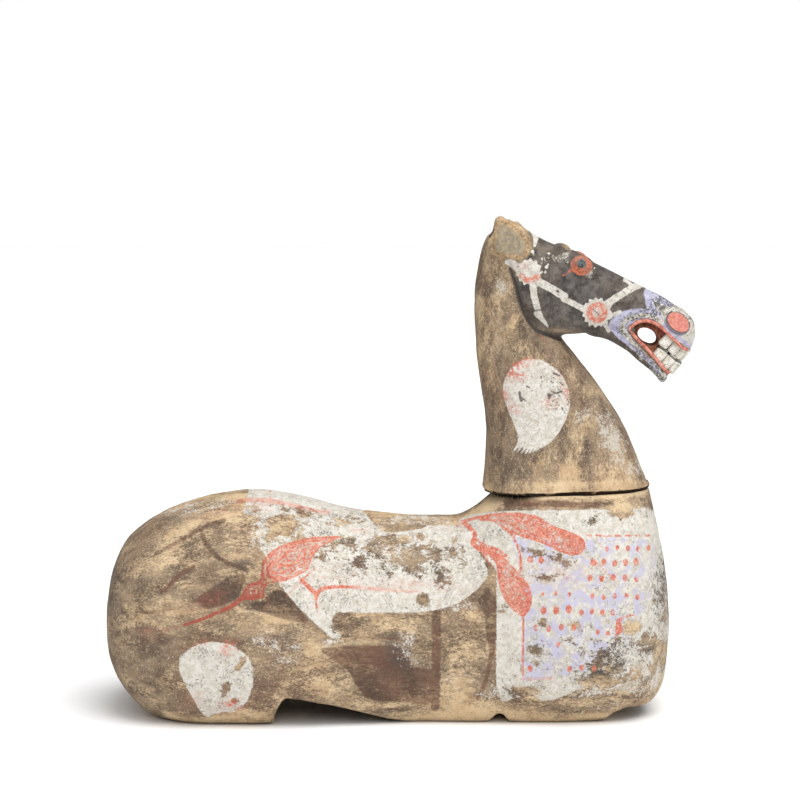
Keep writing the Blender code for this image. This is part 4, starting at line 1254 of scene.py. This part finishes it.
# Oval spots: centre, radius, squash and tilt. The eye's ring stays off the middle of the forehead.
HEAD_DISCS = {
    "ring": ((581.6, 265.3), 11.2, 0.92, 20),
    # A painted shadow, set a little off the nostril so that a dark crescent shows at its lower left.
    "shade": ((676.4, 324.6), 13.2, 0.7, 38),
    "nostril": ((678.3, 322.2), 12.4, 0.68, 38),
    "mouth": ((650, 338), 24, 0.8, 38),
}
EYE_FROM_MIDDLE = 0.021
HEAD_PLACES = {
    "bare": (
        (570, 485, 90, 4, 1, -2), (574, 472, 15, 6, 0.9, -10), (507, 240, 22, 19, 0.9, 35),
        (569, 246, 5.5, 4, 1.3, 20), (498, 300, 6, 16, 0.75), (512, 320, 7, 12, 0.6, 20),
        (492, 374, 6, 20, 0.7), (487, 262, 9, 16, 0.4), (560, 338, 14, 4, 0.5), (596, 392, 10, 9, 0.6, -40),
        (622, 458, 14, 24, 0.45, -25), (600, 440, 18, 16, 0.25), (558, 331, 22, 3, 0.6, 6),
        (499, 478, 6, 14, 0.9), (540, 484, 30, 7, 0.5), (478, 310, 4, 60, 0.2), (544, 250, 8, 4, 0.3),
        (584, 474, 16, 12, 0.5), (527, 456, 10, 8, 0.3), (578, 420, 14, 22, 0.3, -25),
        (544, 332, 20, 3, 0.6, 25),
    ),
    "thick": (
        (500, 310, 20, 40, 0.35), (610, 450, 30, 30, 0.35, -25), (545, 470, 50, 14, 0.3),
        (545, 345, 30, 10, 0.8, 20), (528, 330, 16, 10, 0.6, 40), (518, 300, 6, 34, 0.7, -12),
        (555, 450, 24, 20, 0.5), (518, 456, 24, 24, 0.9), (580, 400, 22, 30, 0.5, -30),
        (486, 400, 8, 60, 0.4), (572, 290, 50, 26, 0.7, 20),
    ),
    "dust": (
        (612, 440, 12, 34, 1.4, -22), (634, 468, 16, 14, 1.1), (584, 415, 16, 16, 0.7),
        (556, 258, 12, 4, 1.2), (567, 256, 4, 7, 1.3), (503, 288, 6, 15, 1.3), (640, 350, 22, 8, 1.2, 40),
        (656, 372, 10, 8, 1.6, 45), (684, 312, 8, 6, 0.8, 40), (590, 272, 5, 6, 0.8),
        (498, 345, 4, 14, 0.6),
    ),
    "worn": (
        (559, 392, 9, 8, 0.4), (560, 408, 8, 8, 0.4), (524, 390, 6, 6, 0.3), (662, 300, 16, 8, 0.5, 30),
        (640, 300, 4, 4, 0.3), (690, 318, 9, 12, 0.6, -40), (534, 250, 5, 5, 0.4), (568, 402, 5, 14, 0.6),
        (615, 300, 6, 4, 0.2), (530, 270, 9, 9, 0.1), (556, 292, 10, 8, 0.3), (545, 374, 14, 7, 0.2),
    ),
    "soot": (
        (640, 291, 5, 5, 0.5), (646, 314, 12, 4, 0.8, 10), (684, 300, 10, 6, 0.6, 40),
        (557, 394, 9, 6, 0.45), (552, 380, 12, 9, 0.25), (664, 302, 14, 9, 0.85, 38),
        (634, 317, 15, 4.5, 0.85, -16), (655, 316, 7, 6, 0.8), (623, 331, 6, 9, 0.7, -30),
        (640, 353, 18, 5, 0.9, 42), (655, 372, 10, 14, 0.95, -30), (662, 378, 8, 7, 1),
        (668, 300, 18, 9, 1, 38), (661, 303, 9, 12, 1.2), (656, 312, 12, 7, 0.9), (496, 240, 5, 12, 0.4),
        (518, 300, 5, 24, 0.6, -15), (500, 460, 14, 30, 0.35), (508, 240, 14, 13, 0.4),
        (562, 249, 8, 4, 0.4, 20), (534, 260, 10, 5, 0.15), (688, 312, 10, 8, 0.4, 38),
        (668, 334, 8, 4, 0.5, 38), (690, 346, 6, 6, 0.4),
    ),
    "red": (
        (511, 371, 10, 8, 1.1, -40), (521, 364, 13, 4.5, 1.1, -10), (520, 375, 7, 5, 1),
        (504, 397, 5, 9, 1, -15), (515, 409, 6, 5, 0.9), (549, 403, 8, 5, 0.9), (567, 388, 5, 12, 0.9),
        (562, 374, 6, 5, 0.6), (506, 300, 6, 16, 0.5), (523, 350, 4, 8, 0.4), (523, 266, 6, 5, 0.5),
        (597, 313, 7, 7, 0.6), (568, 277, 5, 4, 0.8),
    ),
    "glow": (
        (577, 272, 9, 7, 1, 20), (590, 262, 4, 8, 0.7),
    ),
}


def ring_bump(plan, centre, radius, width, squash=1, tilt=0):
    """1 along an oval ring on the side plan and 0 a width away from it."""
    inner, outer = plan.blank(), plan.blank()
    plan.disc(outer, centre, radius + width, squash, tilt)
    plan.disc(inner, centre, radius - width, squash, tilt)
    return falloff(np.minimum(outer, -inner), width)


def make_head():
    upper_teeth, upper_gum = teeth("upper_tooth", UPPER_TEETH)
    lower_teeth, lower_gum = teeth("lower_tooth", LOWER_TEETH)
    body = [
        upper_gum,
        lower_gum,
        loft("neck", NECK_STATIONS, HEAD_MESH, HEAD_WIDEST, NECK_SQUARENESS, head_place),
        loft("skull", SKULL_STATIONS, HEAD_MESH, HEAD_WIDEST, SKULL_SQUARENESS, head_place),
        loft("jaw", JAW_STATIONS, HEAD_MESH, HEAD_WIDEST, SKULL_SQUARENESS, head_place),
        tube("upper_lip_flesh", both_sides(lip_flesh_path()), LIP_FLESH["radius"]),
        lump("mouth_lining", MOUTH_LINING, 1),
        lump("poll_knob", POLL_KNOB, 1),
    ]
    paired = {
        "mouth_corner": MOUTH_CORNER, "socket": SOCKET, "ear_stump": EAR_STUMP,
        "forehead_knob": FOREHEAD_KNOB, "nose_wing": NOSE_WING,
    }
    cutters = []
    for side in SIDES:
        body += [lump(f"{name}_{side}", form, side) for name, form in paired.items()]
        for name, hollow in (("nostril", NOSTRIL), ("ear_break", EAR_BREAK)):
            x, y, z = hollow["at"]
            cutters.append(round_solid(
                f"{name}_{side}", ROUND_SIDES, head_place, (x, side * y, z), hollow["radii"],
                hollow["tilt"], hollow["depth"],
            ))
    for name, hole in (("mouth_hole", MOUTH_HOLE), ("poll_hole", POLL_HOLE)):
        reach = hole.get("half_width", HEAD_GRID_WIDTH / 2)
        cutters.append(round_solid(
            name, ROUND_SIDES, head_place, (hole["at"][0], 0, hole["at"][1]), hole["radii"],
            hole.get("tilt", 0), 2 * reach,
        ))
    low = Vector((SEAT_X - HEAD_PIECE_HEIGHT, -HEAD_PIECE_WIDTH, SEAT_HEIGHT - HEAD_PIECE_HEIGHT))
    high = Vector((SEAT_X + HEAD_PIECE_HEIGHT, HEAD_PIECE_WIDTH, SEAT_HEIGHT + SEAT_GAP))
    cutters.append(box("foot_cut", low, high))
    head = fired("head_body", body, cutters, HEAD_VOXEL, 3)
    sculpt_head(head.data)

    zones = {"lip": [], "tooth": [], "eye": [], "pupil": []}
    zones["lip"].append(tube("upper_lip", both_sides(UPPER_LIP), LIP_RADIUS))
    zones["lip"].append(tube("lower_lip", both_sides(LOWER_LIP), LIP_RADIUS))
    zones["tooth"] += upper_teeth + lower_teeth
    for side in SIDES:
        zones["eye"].append(lump(f"eyeball_{side}", EYEBALL, side))
        zones["pupil"].append(lump(f"pupil_{side}", PUPIL, side))
    parts = [("body", head)] + [(zone, part) for zone, group in zones.items() for part in group]
    counts = [(zone, len(part.data.vertices)) for zone, part in parts]
    piece = joined("head_and_neck_fired_clay", [part for _, part in parts])
    mesh = piece.data
    zone_of = np.concatenate([np.full(count, zone) for zone, count in counts])
    keep_fields(mesh, {zone: (zone_of == zone).astype(float) for zone in zones})
    paint_head(mesh)
    smooth_shaded(piece)
    return piece


def sculpt_head(mesh):
    points, normals = points_of(mesh), points_of(mesh, "normal")
    plan = Plan(points)
    outside = np.clip((np.abs(normals[:, 1]) - 0.25) / 0.4, 0, 1)
    ridge, groove, ear = plan.blank(), plan.blank(), plan.blank()
    plan.line(ridge, CHEEK_RIDGE["line"], *CHEEK_RIDGE["widths"])
    for line in (LIP_GROOVE, CREASE):
        plan.line(groove, line, GROOVE["width"], GROOVE["width"])
    plan.area(ear, EAR_PATCH)
    raised = falloff(ridge, CHEEK_RIDGE["half_width"]) * CHEEK_RIDGE["height"]
    raised -= falloff(groove, GROOVE["width"] / 2) * GROOVE["depth"]
    for *ring, height in RAISED_RINGS:
        raised += ring_bump(plan, *ring) * height
    points = pushed(points, normals, raised * outside)
    points = uneven(points, normals, HEAD_UNEVEN)
    broken = falloff(ear + 1, 4) * outside
    points = pushed(roughened(points, normals, broken, *BROKEN_EAR), normals, -EAR_SINK * broken)
    poll = np.clip((points[:, 2] - SEAT_HEIGHT - POLL["from"]) / POLL["over"], 0, 1)
    points = roughened(points, normals, poll, *ROUGH_POLL)
    foot = np.clip(1 - (points[:, 2] - SEAT_HEIGHT) / NECK_FOOT_HEIGHT, 0, 1) * (normals[:, 2] > -0.9)
    points = roughened(points, normals, foot, *NECK_FOOT)
    opening = np.clip((foot_share(points) - 0.1) / 0.5, 0, 1) * JOINT_OPENING["front"] + JOINT_OPENING["rear"]
    points[:, 2] += foot * (opening + np.clip(rough(points, 0.05, 2, 11), 0, 1) * 0.0012)
    points[:, 2] = np.maximum(points[:, 2], SEAT_HEIGHT + SEAT_GAP + seat_rise(points))
    set_points(mesh, points)


def paint_head(mesh):
    points, normals = points_of(mesh), points_of(mesh, "normal")
    plan = Plan(points)
    fields = painted_fields(plan, HEAD_AREAS, HEAD_LINES, HEAD_PLACES)
    bands = fields.pop("bands")
    fields["lavender"] = np.minimum(fields["lavender"], -bands)
    fields["white"] = np.maximum(fields["white"], bands)
    for centre, radius, petals in ROSETTES:
        plan.disc(fields["cream"], centre, radius, petals=petals, petal_depth=PETAL_DEPTH)
    for crumb in CRUMBS:
        plan.disc(fields["cream"], *crumb)
    outer, inner = plan.blank(), plan.blank()
    plan.disc(outer, ROSETTES[1][0], ROSETTE_RING["outer"])
    plan.disc(inner, ROSETTES[1][0], ROSETTE_RING["inner"])
    fields["coral"] = np.maximum(fields["coral"], np.minimum(outer, -inner))
    for name, disc in HEAD_DISCS.items():
        fields[name] = plan.blank()
        plan.disc(fields[name], *disc)
    side, height = np.abs(points[:, 1]), points[:, 2] - SEAT_HEIGHT
    fields["ring"] = np.minimum(fields["ring"], (side - EYE_FROM_MIDDLE) / 0.001)
    fields["inner_side"] = np.clip((INNER_HALF_WIDTH - side) / 0.003, 0, 1)
    foot = np.clip(1 - height / FOOT_CLAY, 0, 1)
    back = np.clip((height - POLL_CLAY["from"]) / POLL_CLAY["over"], 0, 1)
    fields["bare"] = np.maximum.reduce([fields["bare"], 1.2 * foot, 0.6 * back])
    # Painted shade: the neck's foot is darkened where it faces down into the open joint.
    fields["joint"] = (height < FOOT_CLAY) * np.clip((-0.35 - normals[:, 2]) / 0.3, 0, 1)
    keep_fields(mesh, fields)


def head_look():
    """Worn brown neck, dark face, cream bridle, lavender muzzle, red lips, teeth, eyes and painted shade."""
    look = Look("painted_head_clay", 0.86)
    fine = look.noise(0.0034, 4, 0.65, seed=23)
    grain = look.noise(0.0011, 2, 0.6, seed=29)
    broad = look.noise(0.08, 3, 0.5, seed=22)
    edge = (look.noise(0.006, 5, 0.7, seed=21) - 0.5) * 4
    ear, nostril = look.field("ear"), look.field("nostril")

    clay = look.mix(look.noise(0.018, 6, 0.65, seed=31).step(0.35, 0.65), *CLAY)
    brown = look.mix(look.noise(0.018, 6, 0.7, (1, 1, 2), seed=24).step(0.36, 0.64), *BROWN)
    brown = look.mix(broad.step(0.46, 0.62, 0, 0.3), brown, RED_BROWN)
    dark = look.mix(look.noise(0.012, 6, 0.7, seed=26).step(0.36, 0.66), *FACE)
    face_on = (look.field("face") + edge * 1.4).step(-2.5, 2.5)
    sooty = look.field("soot") * fine.step(0.36, 0.58)
    brown = look.mix(sooty * 0.8, look.mix(face_on, brown, dark), SOOT)
    ground_on = worn_ground(look, (0.85, 1, 1.5), 43, 0.7, 0.13)
    ground_on = look.most(ground_on, face_on * (0.93 - look.field("bare") * 0.5))
    colour = grained(look, look.mix(ground_on, clay, brown), 63, face_on.step(0, 1, 1, 0.2))
    colour = dusted(look, colour, WHITE[0], 52)
    rim = look.mix(look.noise(0.004, 6, 0.75, seed=44).step(0.40, 0.60), *EAR_RIM)
    colour = look.mix((ear + edge).step(-1.5, 0.5, 0, 0.75), colour, rim)
    broken = look.mix(fine.step(0.35, 0.65), *EAR_GREY)
    colour = look.mix((ear + edge * 1.5).step(2.5, 6.0) * 0.9, colour, broken)
    colour = look.mix((look.field("crease") + edge * 0.4).step(-0.9, 0.9, 0, 0.85), colour, SOOT)

    flake = look.noise(0.008, 7, 0.75, seed=27) * 0.6 + fine * 0.4 + look.field("worn") * 0.16
    whole = flake.step(0.625, 0.590)
    crackle = look.cracks(0.0085, 0.035) * broad.step(0.44, 0.56, 0.25, 1)
    white = look.mix(look.noise(0.006, 6, 0.8, seed=28).step(0.40, 0.58), *WHITE)
    specks = (look.noise(0.0023, 5, 0.85, seed=32) + sooty * 0.24).step(0.585, 0.635)
    white = look.mix(specks * 0.85, white, SOOT)
    white = look.mix(crackle * 0.4, white, RED_BROWN)
    stain = look.field("red") * look.noise(0.004, 5, 0.75, seed=34).step(0.45, 0.54)
    white = look.mix(stain * 0.85, white, CORAL[0])
    violet = look.mix(look.noise(0.006, 5, 0.7, seed=33).step(0.36, 0.6), *LAVENDER)
    violet = look.mix(specks * 0.8, violet, SOOT)
    white_on = (look.field("white") + edge * 0.6).step(-0.5, 0.5) * whole
    colour = look.mix(white_on, colour, white)
    violet_on = (look.field("lavender") + edge).step(-0.8, 0.8) * whole
    colour = look.mix(violet_on * 0.92, colour, violet)
    cream_on = (look.field("cream") + edge * 0.8).step(-0.35, 0.35) * whole
    colour = look.mix(cream_on, colour, white)
    coral = look.mix(look.noise(0.006, 5, 0.7, seed=35).step(0.38, 0.62), *CORAL)
    rubbed = look.noise(0.0036, 5, 0.75, seed=38).step(0.50, 0.56, 0, 0.85)
    coral_on = (look.field("coral") + edge * 0.9).step(-0.6, 1.2, 0, 0.92) * (1 - rubbed)
    colour = look.mix(coral_on, colour, coral)
    ring_on = (look.field("ring") + edge * 0.5).step(-0.5, 1.0) * fine.step(0.26, 0.4)
    ember = look.mix(look.field("glow"), *EYE_ORANGE)
    ember = look.mix(look.noise(0.0026, 5, 0.8, seed=36).step(0.47, 0.56, 0, 0.6), ember, dark)
    colour = look.mix(ring_on, colour, ember)
    # Painted shadow: a dark violet crescent along the nostril's lower left edge.
    colour = look.mix((look.field("shade") + edge * 0.8).step(-1.0, 1.0) * 0.8, colour, NOSTRIL_SHADOW_VIOLET)
    rim_on = (nostril + edge * 0.7).step(-1.8, -0.6) * fine.step(0.38, 0.6, 0.5, 0.9)
    colour = look.mix(rim_on, colour, SOOT)
    red = look.mix(fine.step(0.35, 0.65), *NOSTRIL_RED)
    colour = look.mix((nostril + edge * 0.3).step(-0.2, 0.8), colour, red)
    inside = look.mix(fine.step(0.4, 0.6), MOUTH_RED, MOUTH_BROWN)
    colour = look.mix(look.field("mouth").step(-0.5, 1) * look.field("inner_side"), colour, inside)

    lip = look.mix(look.noise(0.0045, 5, 0.75, seed=45).step(0.36, 0.6), *LIP_RED)
    lip = look.mix(look.noise(0.0024, 4, 0.8, seed=46).step(0.555, 0.62, 0, 0.8), lip, CREAM)
    tooth = look.mix(look.noise(0.005, 5, 0.6, seed=37).step(0.36, 0.62), *TOOTH)
    tooth = look.mix(specks * 0.6, tooth, DARK_BROWN)
    tooth = look.mix(look.cracks(0.013, 0.035) * 0.6, tooth, DARK_BROWN)
    marks_on = (look.field("marks") + edge * 0.15).step(-0.5, 0.4, 0, 0.85)
    pupil = look.mix(fine.step(0.35, 0.65), *PUPIL_GREY)
    # The last layer is painted shade on the neck's foot.
    over = ((look.field("lip"), lip), (look.field("tooth"), tooth), (marks_on, SOOT),
            (look.field("eye"), ember), (look.field("pupil"), pupil), (look.field("joint"), PAINTED_SHADE_DARK))
    for share, paint in over:
        colour = look.mix(share, colour, paint)
    paint_on = look.most(look.most(white_on, cream_on), coral_on)
    relief = paint_on * 0.2 + ground_on * 0.08 + crackle * -0.08 + fine * 0.28 + grain * 0.14
    return look.finish(colour, relief, RELIEF_DEPTH)


FLOOR_SIZE = 14.0
FLOOR_WHITE = 0.94


def make_floor():
    form = bmesh.new()
    bmesh.ops.create_grid(form, x_segments=1, y_segments=1, size=FLOOR_SIZE / 2)
    floor = mesh_from("pale_floor", form)
    pale = bpy.data.materials.new("pale_floor")
    pale.use_nodes = True
    shader = pale.node_tree.nodes["Principled BSDF"]
    shader.inputs["Base Color"].default_value = (FLOOR_WHITE, FLOOR_WHITE, FLOOR_WHITE, 1)
    shader.inputs["Roughness"].default_value = 0.9
    shader.inputs["Specular IOR Level"].default_value = 0.1
    floor.data.materials.append(pale)


def make_camera():
    data = bpy.data.cameras.new("photo_camera")
    data.sensor_width = SENSOR
    data.lens = SENSOR * CAMERA_DISTANCE / (PHOTO_SIZE * PIXEL)
    data.clip_end = 50
    camera = bpy.data.objects.new("photo_camera", data)
    bpy.context.scene.collection.objects.link(camera)
    rise = math.radians(CAMERA_RISE_DEG)
    back = Vector((0, -math.cos(rise), math.sin(rise)))
    camera.location = CAMERA_TARGET + back * CAMERA_DISTANCE
    camera.rotation_euler = (math.pi / 2 - rise, 0, 0)
    bpy.context.scene.camera = camera


# Soft lights: where they come from, how wide they look in degrees and how strong they are.
SUNS = {
    "key_light": ((0.6, -0.75, 2.1), 42, 2.0),
    "front_light": ((0.25, -1.6, 1.3), 46, 1.0),
}
SKY_LIGHT = (0.04, 1.1)
BACK_LIGHT_SHARE = 0.3


def make_light():
    for name, (source, width_deg, strength) in SUNS.items():
        data = bpy.data.lights.new(name, "SUN")
        data.angle = math.radians(width_deg)
        data.energy = strength
        lamp = bpy.data.objects.new(name, data)
        bpy.context.scene.collection.objects.link(lamp)
        lamp.location = source
        lamp.rotation_euler = Vector(source).to_track_quat("Z", "Y").to_euler()
    world = bpy.data.worlds.new("plain_studio")
    bpy.context.scene.world = world
    world.use_nodes = True
    nodes, links = world.node_tree.nodes, world.node_tree.links
    fill, backdrop = nodes["Background"], nodes.new("ShaderNodeBackground")
    fill.inputs["Color"].default_value = (1, 1, 1, 1)
    direction, parts = nodes.new("ShaderNodeTexCoord"), nodes.new("ShaderNodeSeparateXYZ")
    brighter_above = nodes.new("ShaderNodeMapRange")
    brighter_above.inputs["From Max"].default_value = 0.9
    brighter_above.inputs["To Min"].default_value = SKY_LIGHT[0]
    brighter_above.inputs["To Max"].default_value = SKY_LIGHT[1]
    links.new(direction.outputs["Generated"], parts.inputs["Vector"])
    links.new(parts.outputs["Z"], brighter_above.inputs["Value"])
    dimmer_behind, strength = nodes.new("ShaderNodeMapRange"), nodes.new("ShaderNodeMath")
    dimmer_behind.inputs["From Min"].default_value = -1
    dimmer_behind.inputs["To Min"].default_value = 1
    dimmer_behind.inputs["To Max"].default_value = BACK_LIGHT_SHARE
    links.new(parts.outputs["Y"], dimmer_behind.inputs["Value"])
    strength.operation = "MULTIPLY"
    links.new(brighter_above.outputs["Result"], strength.inputs[0])
    links.new(dimmer_behind.outputs["Result"], strength.inputs[1])
    links.new(strength.outputs[0], fill.inputs["Strength"])
    backdrop.inputs["Color"].default_value = (1, 1, 1, 1)
    backdrop.inputs["Strength"].default_value = 1.0
    chosen, path = nodes.new("ShaderNodeMixShader"), nodes.new("ShaderNodeLightPath")
    links.new(path.outputs["Is Camera Ray"], chosen.inputs["Fac"])
    links.new(fill.outputs[0], chosen.inputs[1])
    links.new(backdrop.outputs[0], chosen.inputs[2])
    links.new(chosen.outputs[0], nodes["World Output"].inputs["Surface"])
    bpy.context.scene.view_settings.view_transform = "Standard"


def main():
    trunk = make_trunk()
    trunk.data.materials.append(trunk_look())
    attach(trunk, "root")
    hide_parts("trunk")
    head = make_head()
    head.data.materials.append(head_look())
    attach(head, "root")
    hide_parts("head_and_neck")
    make_floor()
    make_camera()
    make_light()


main()
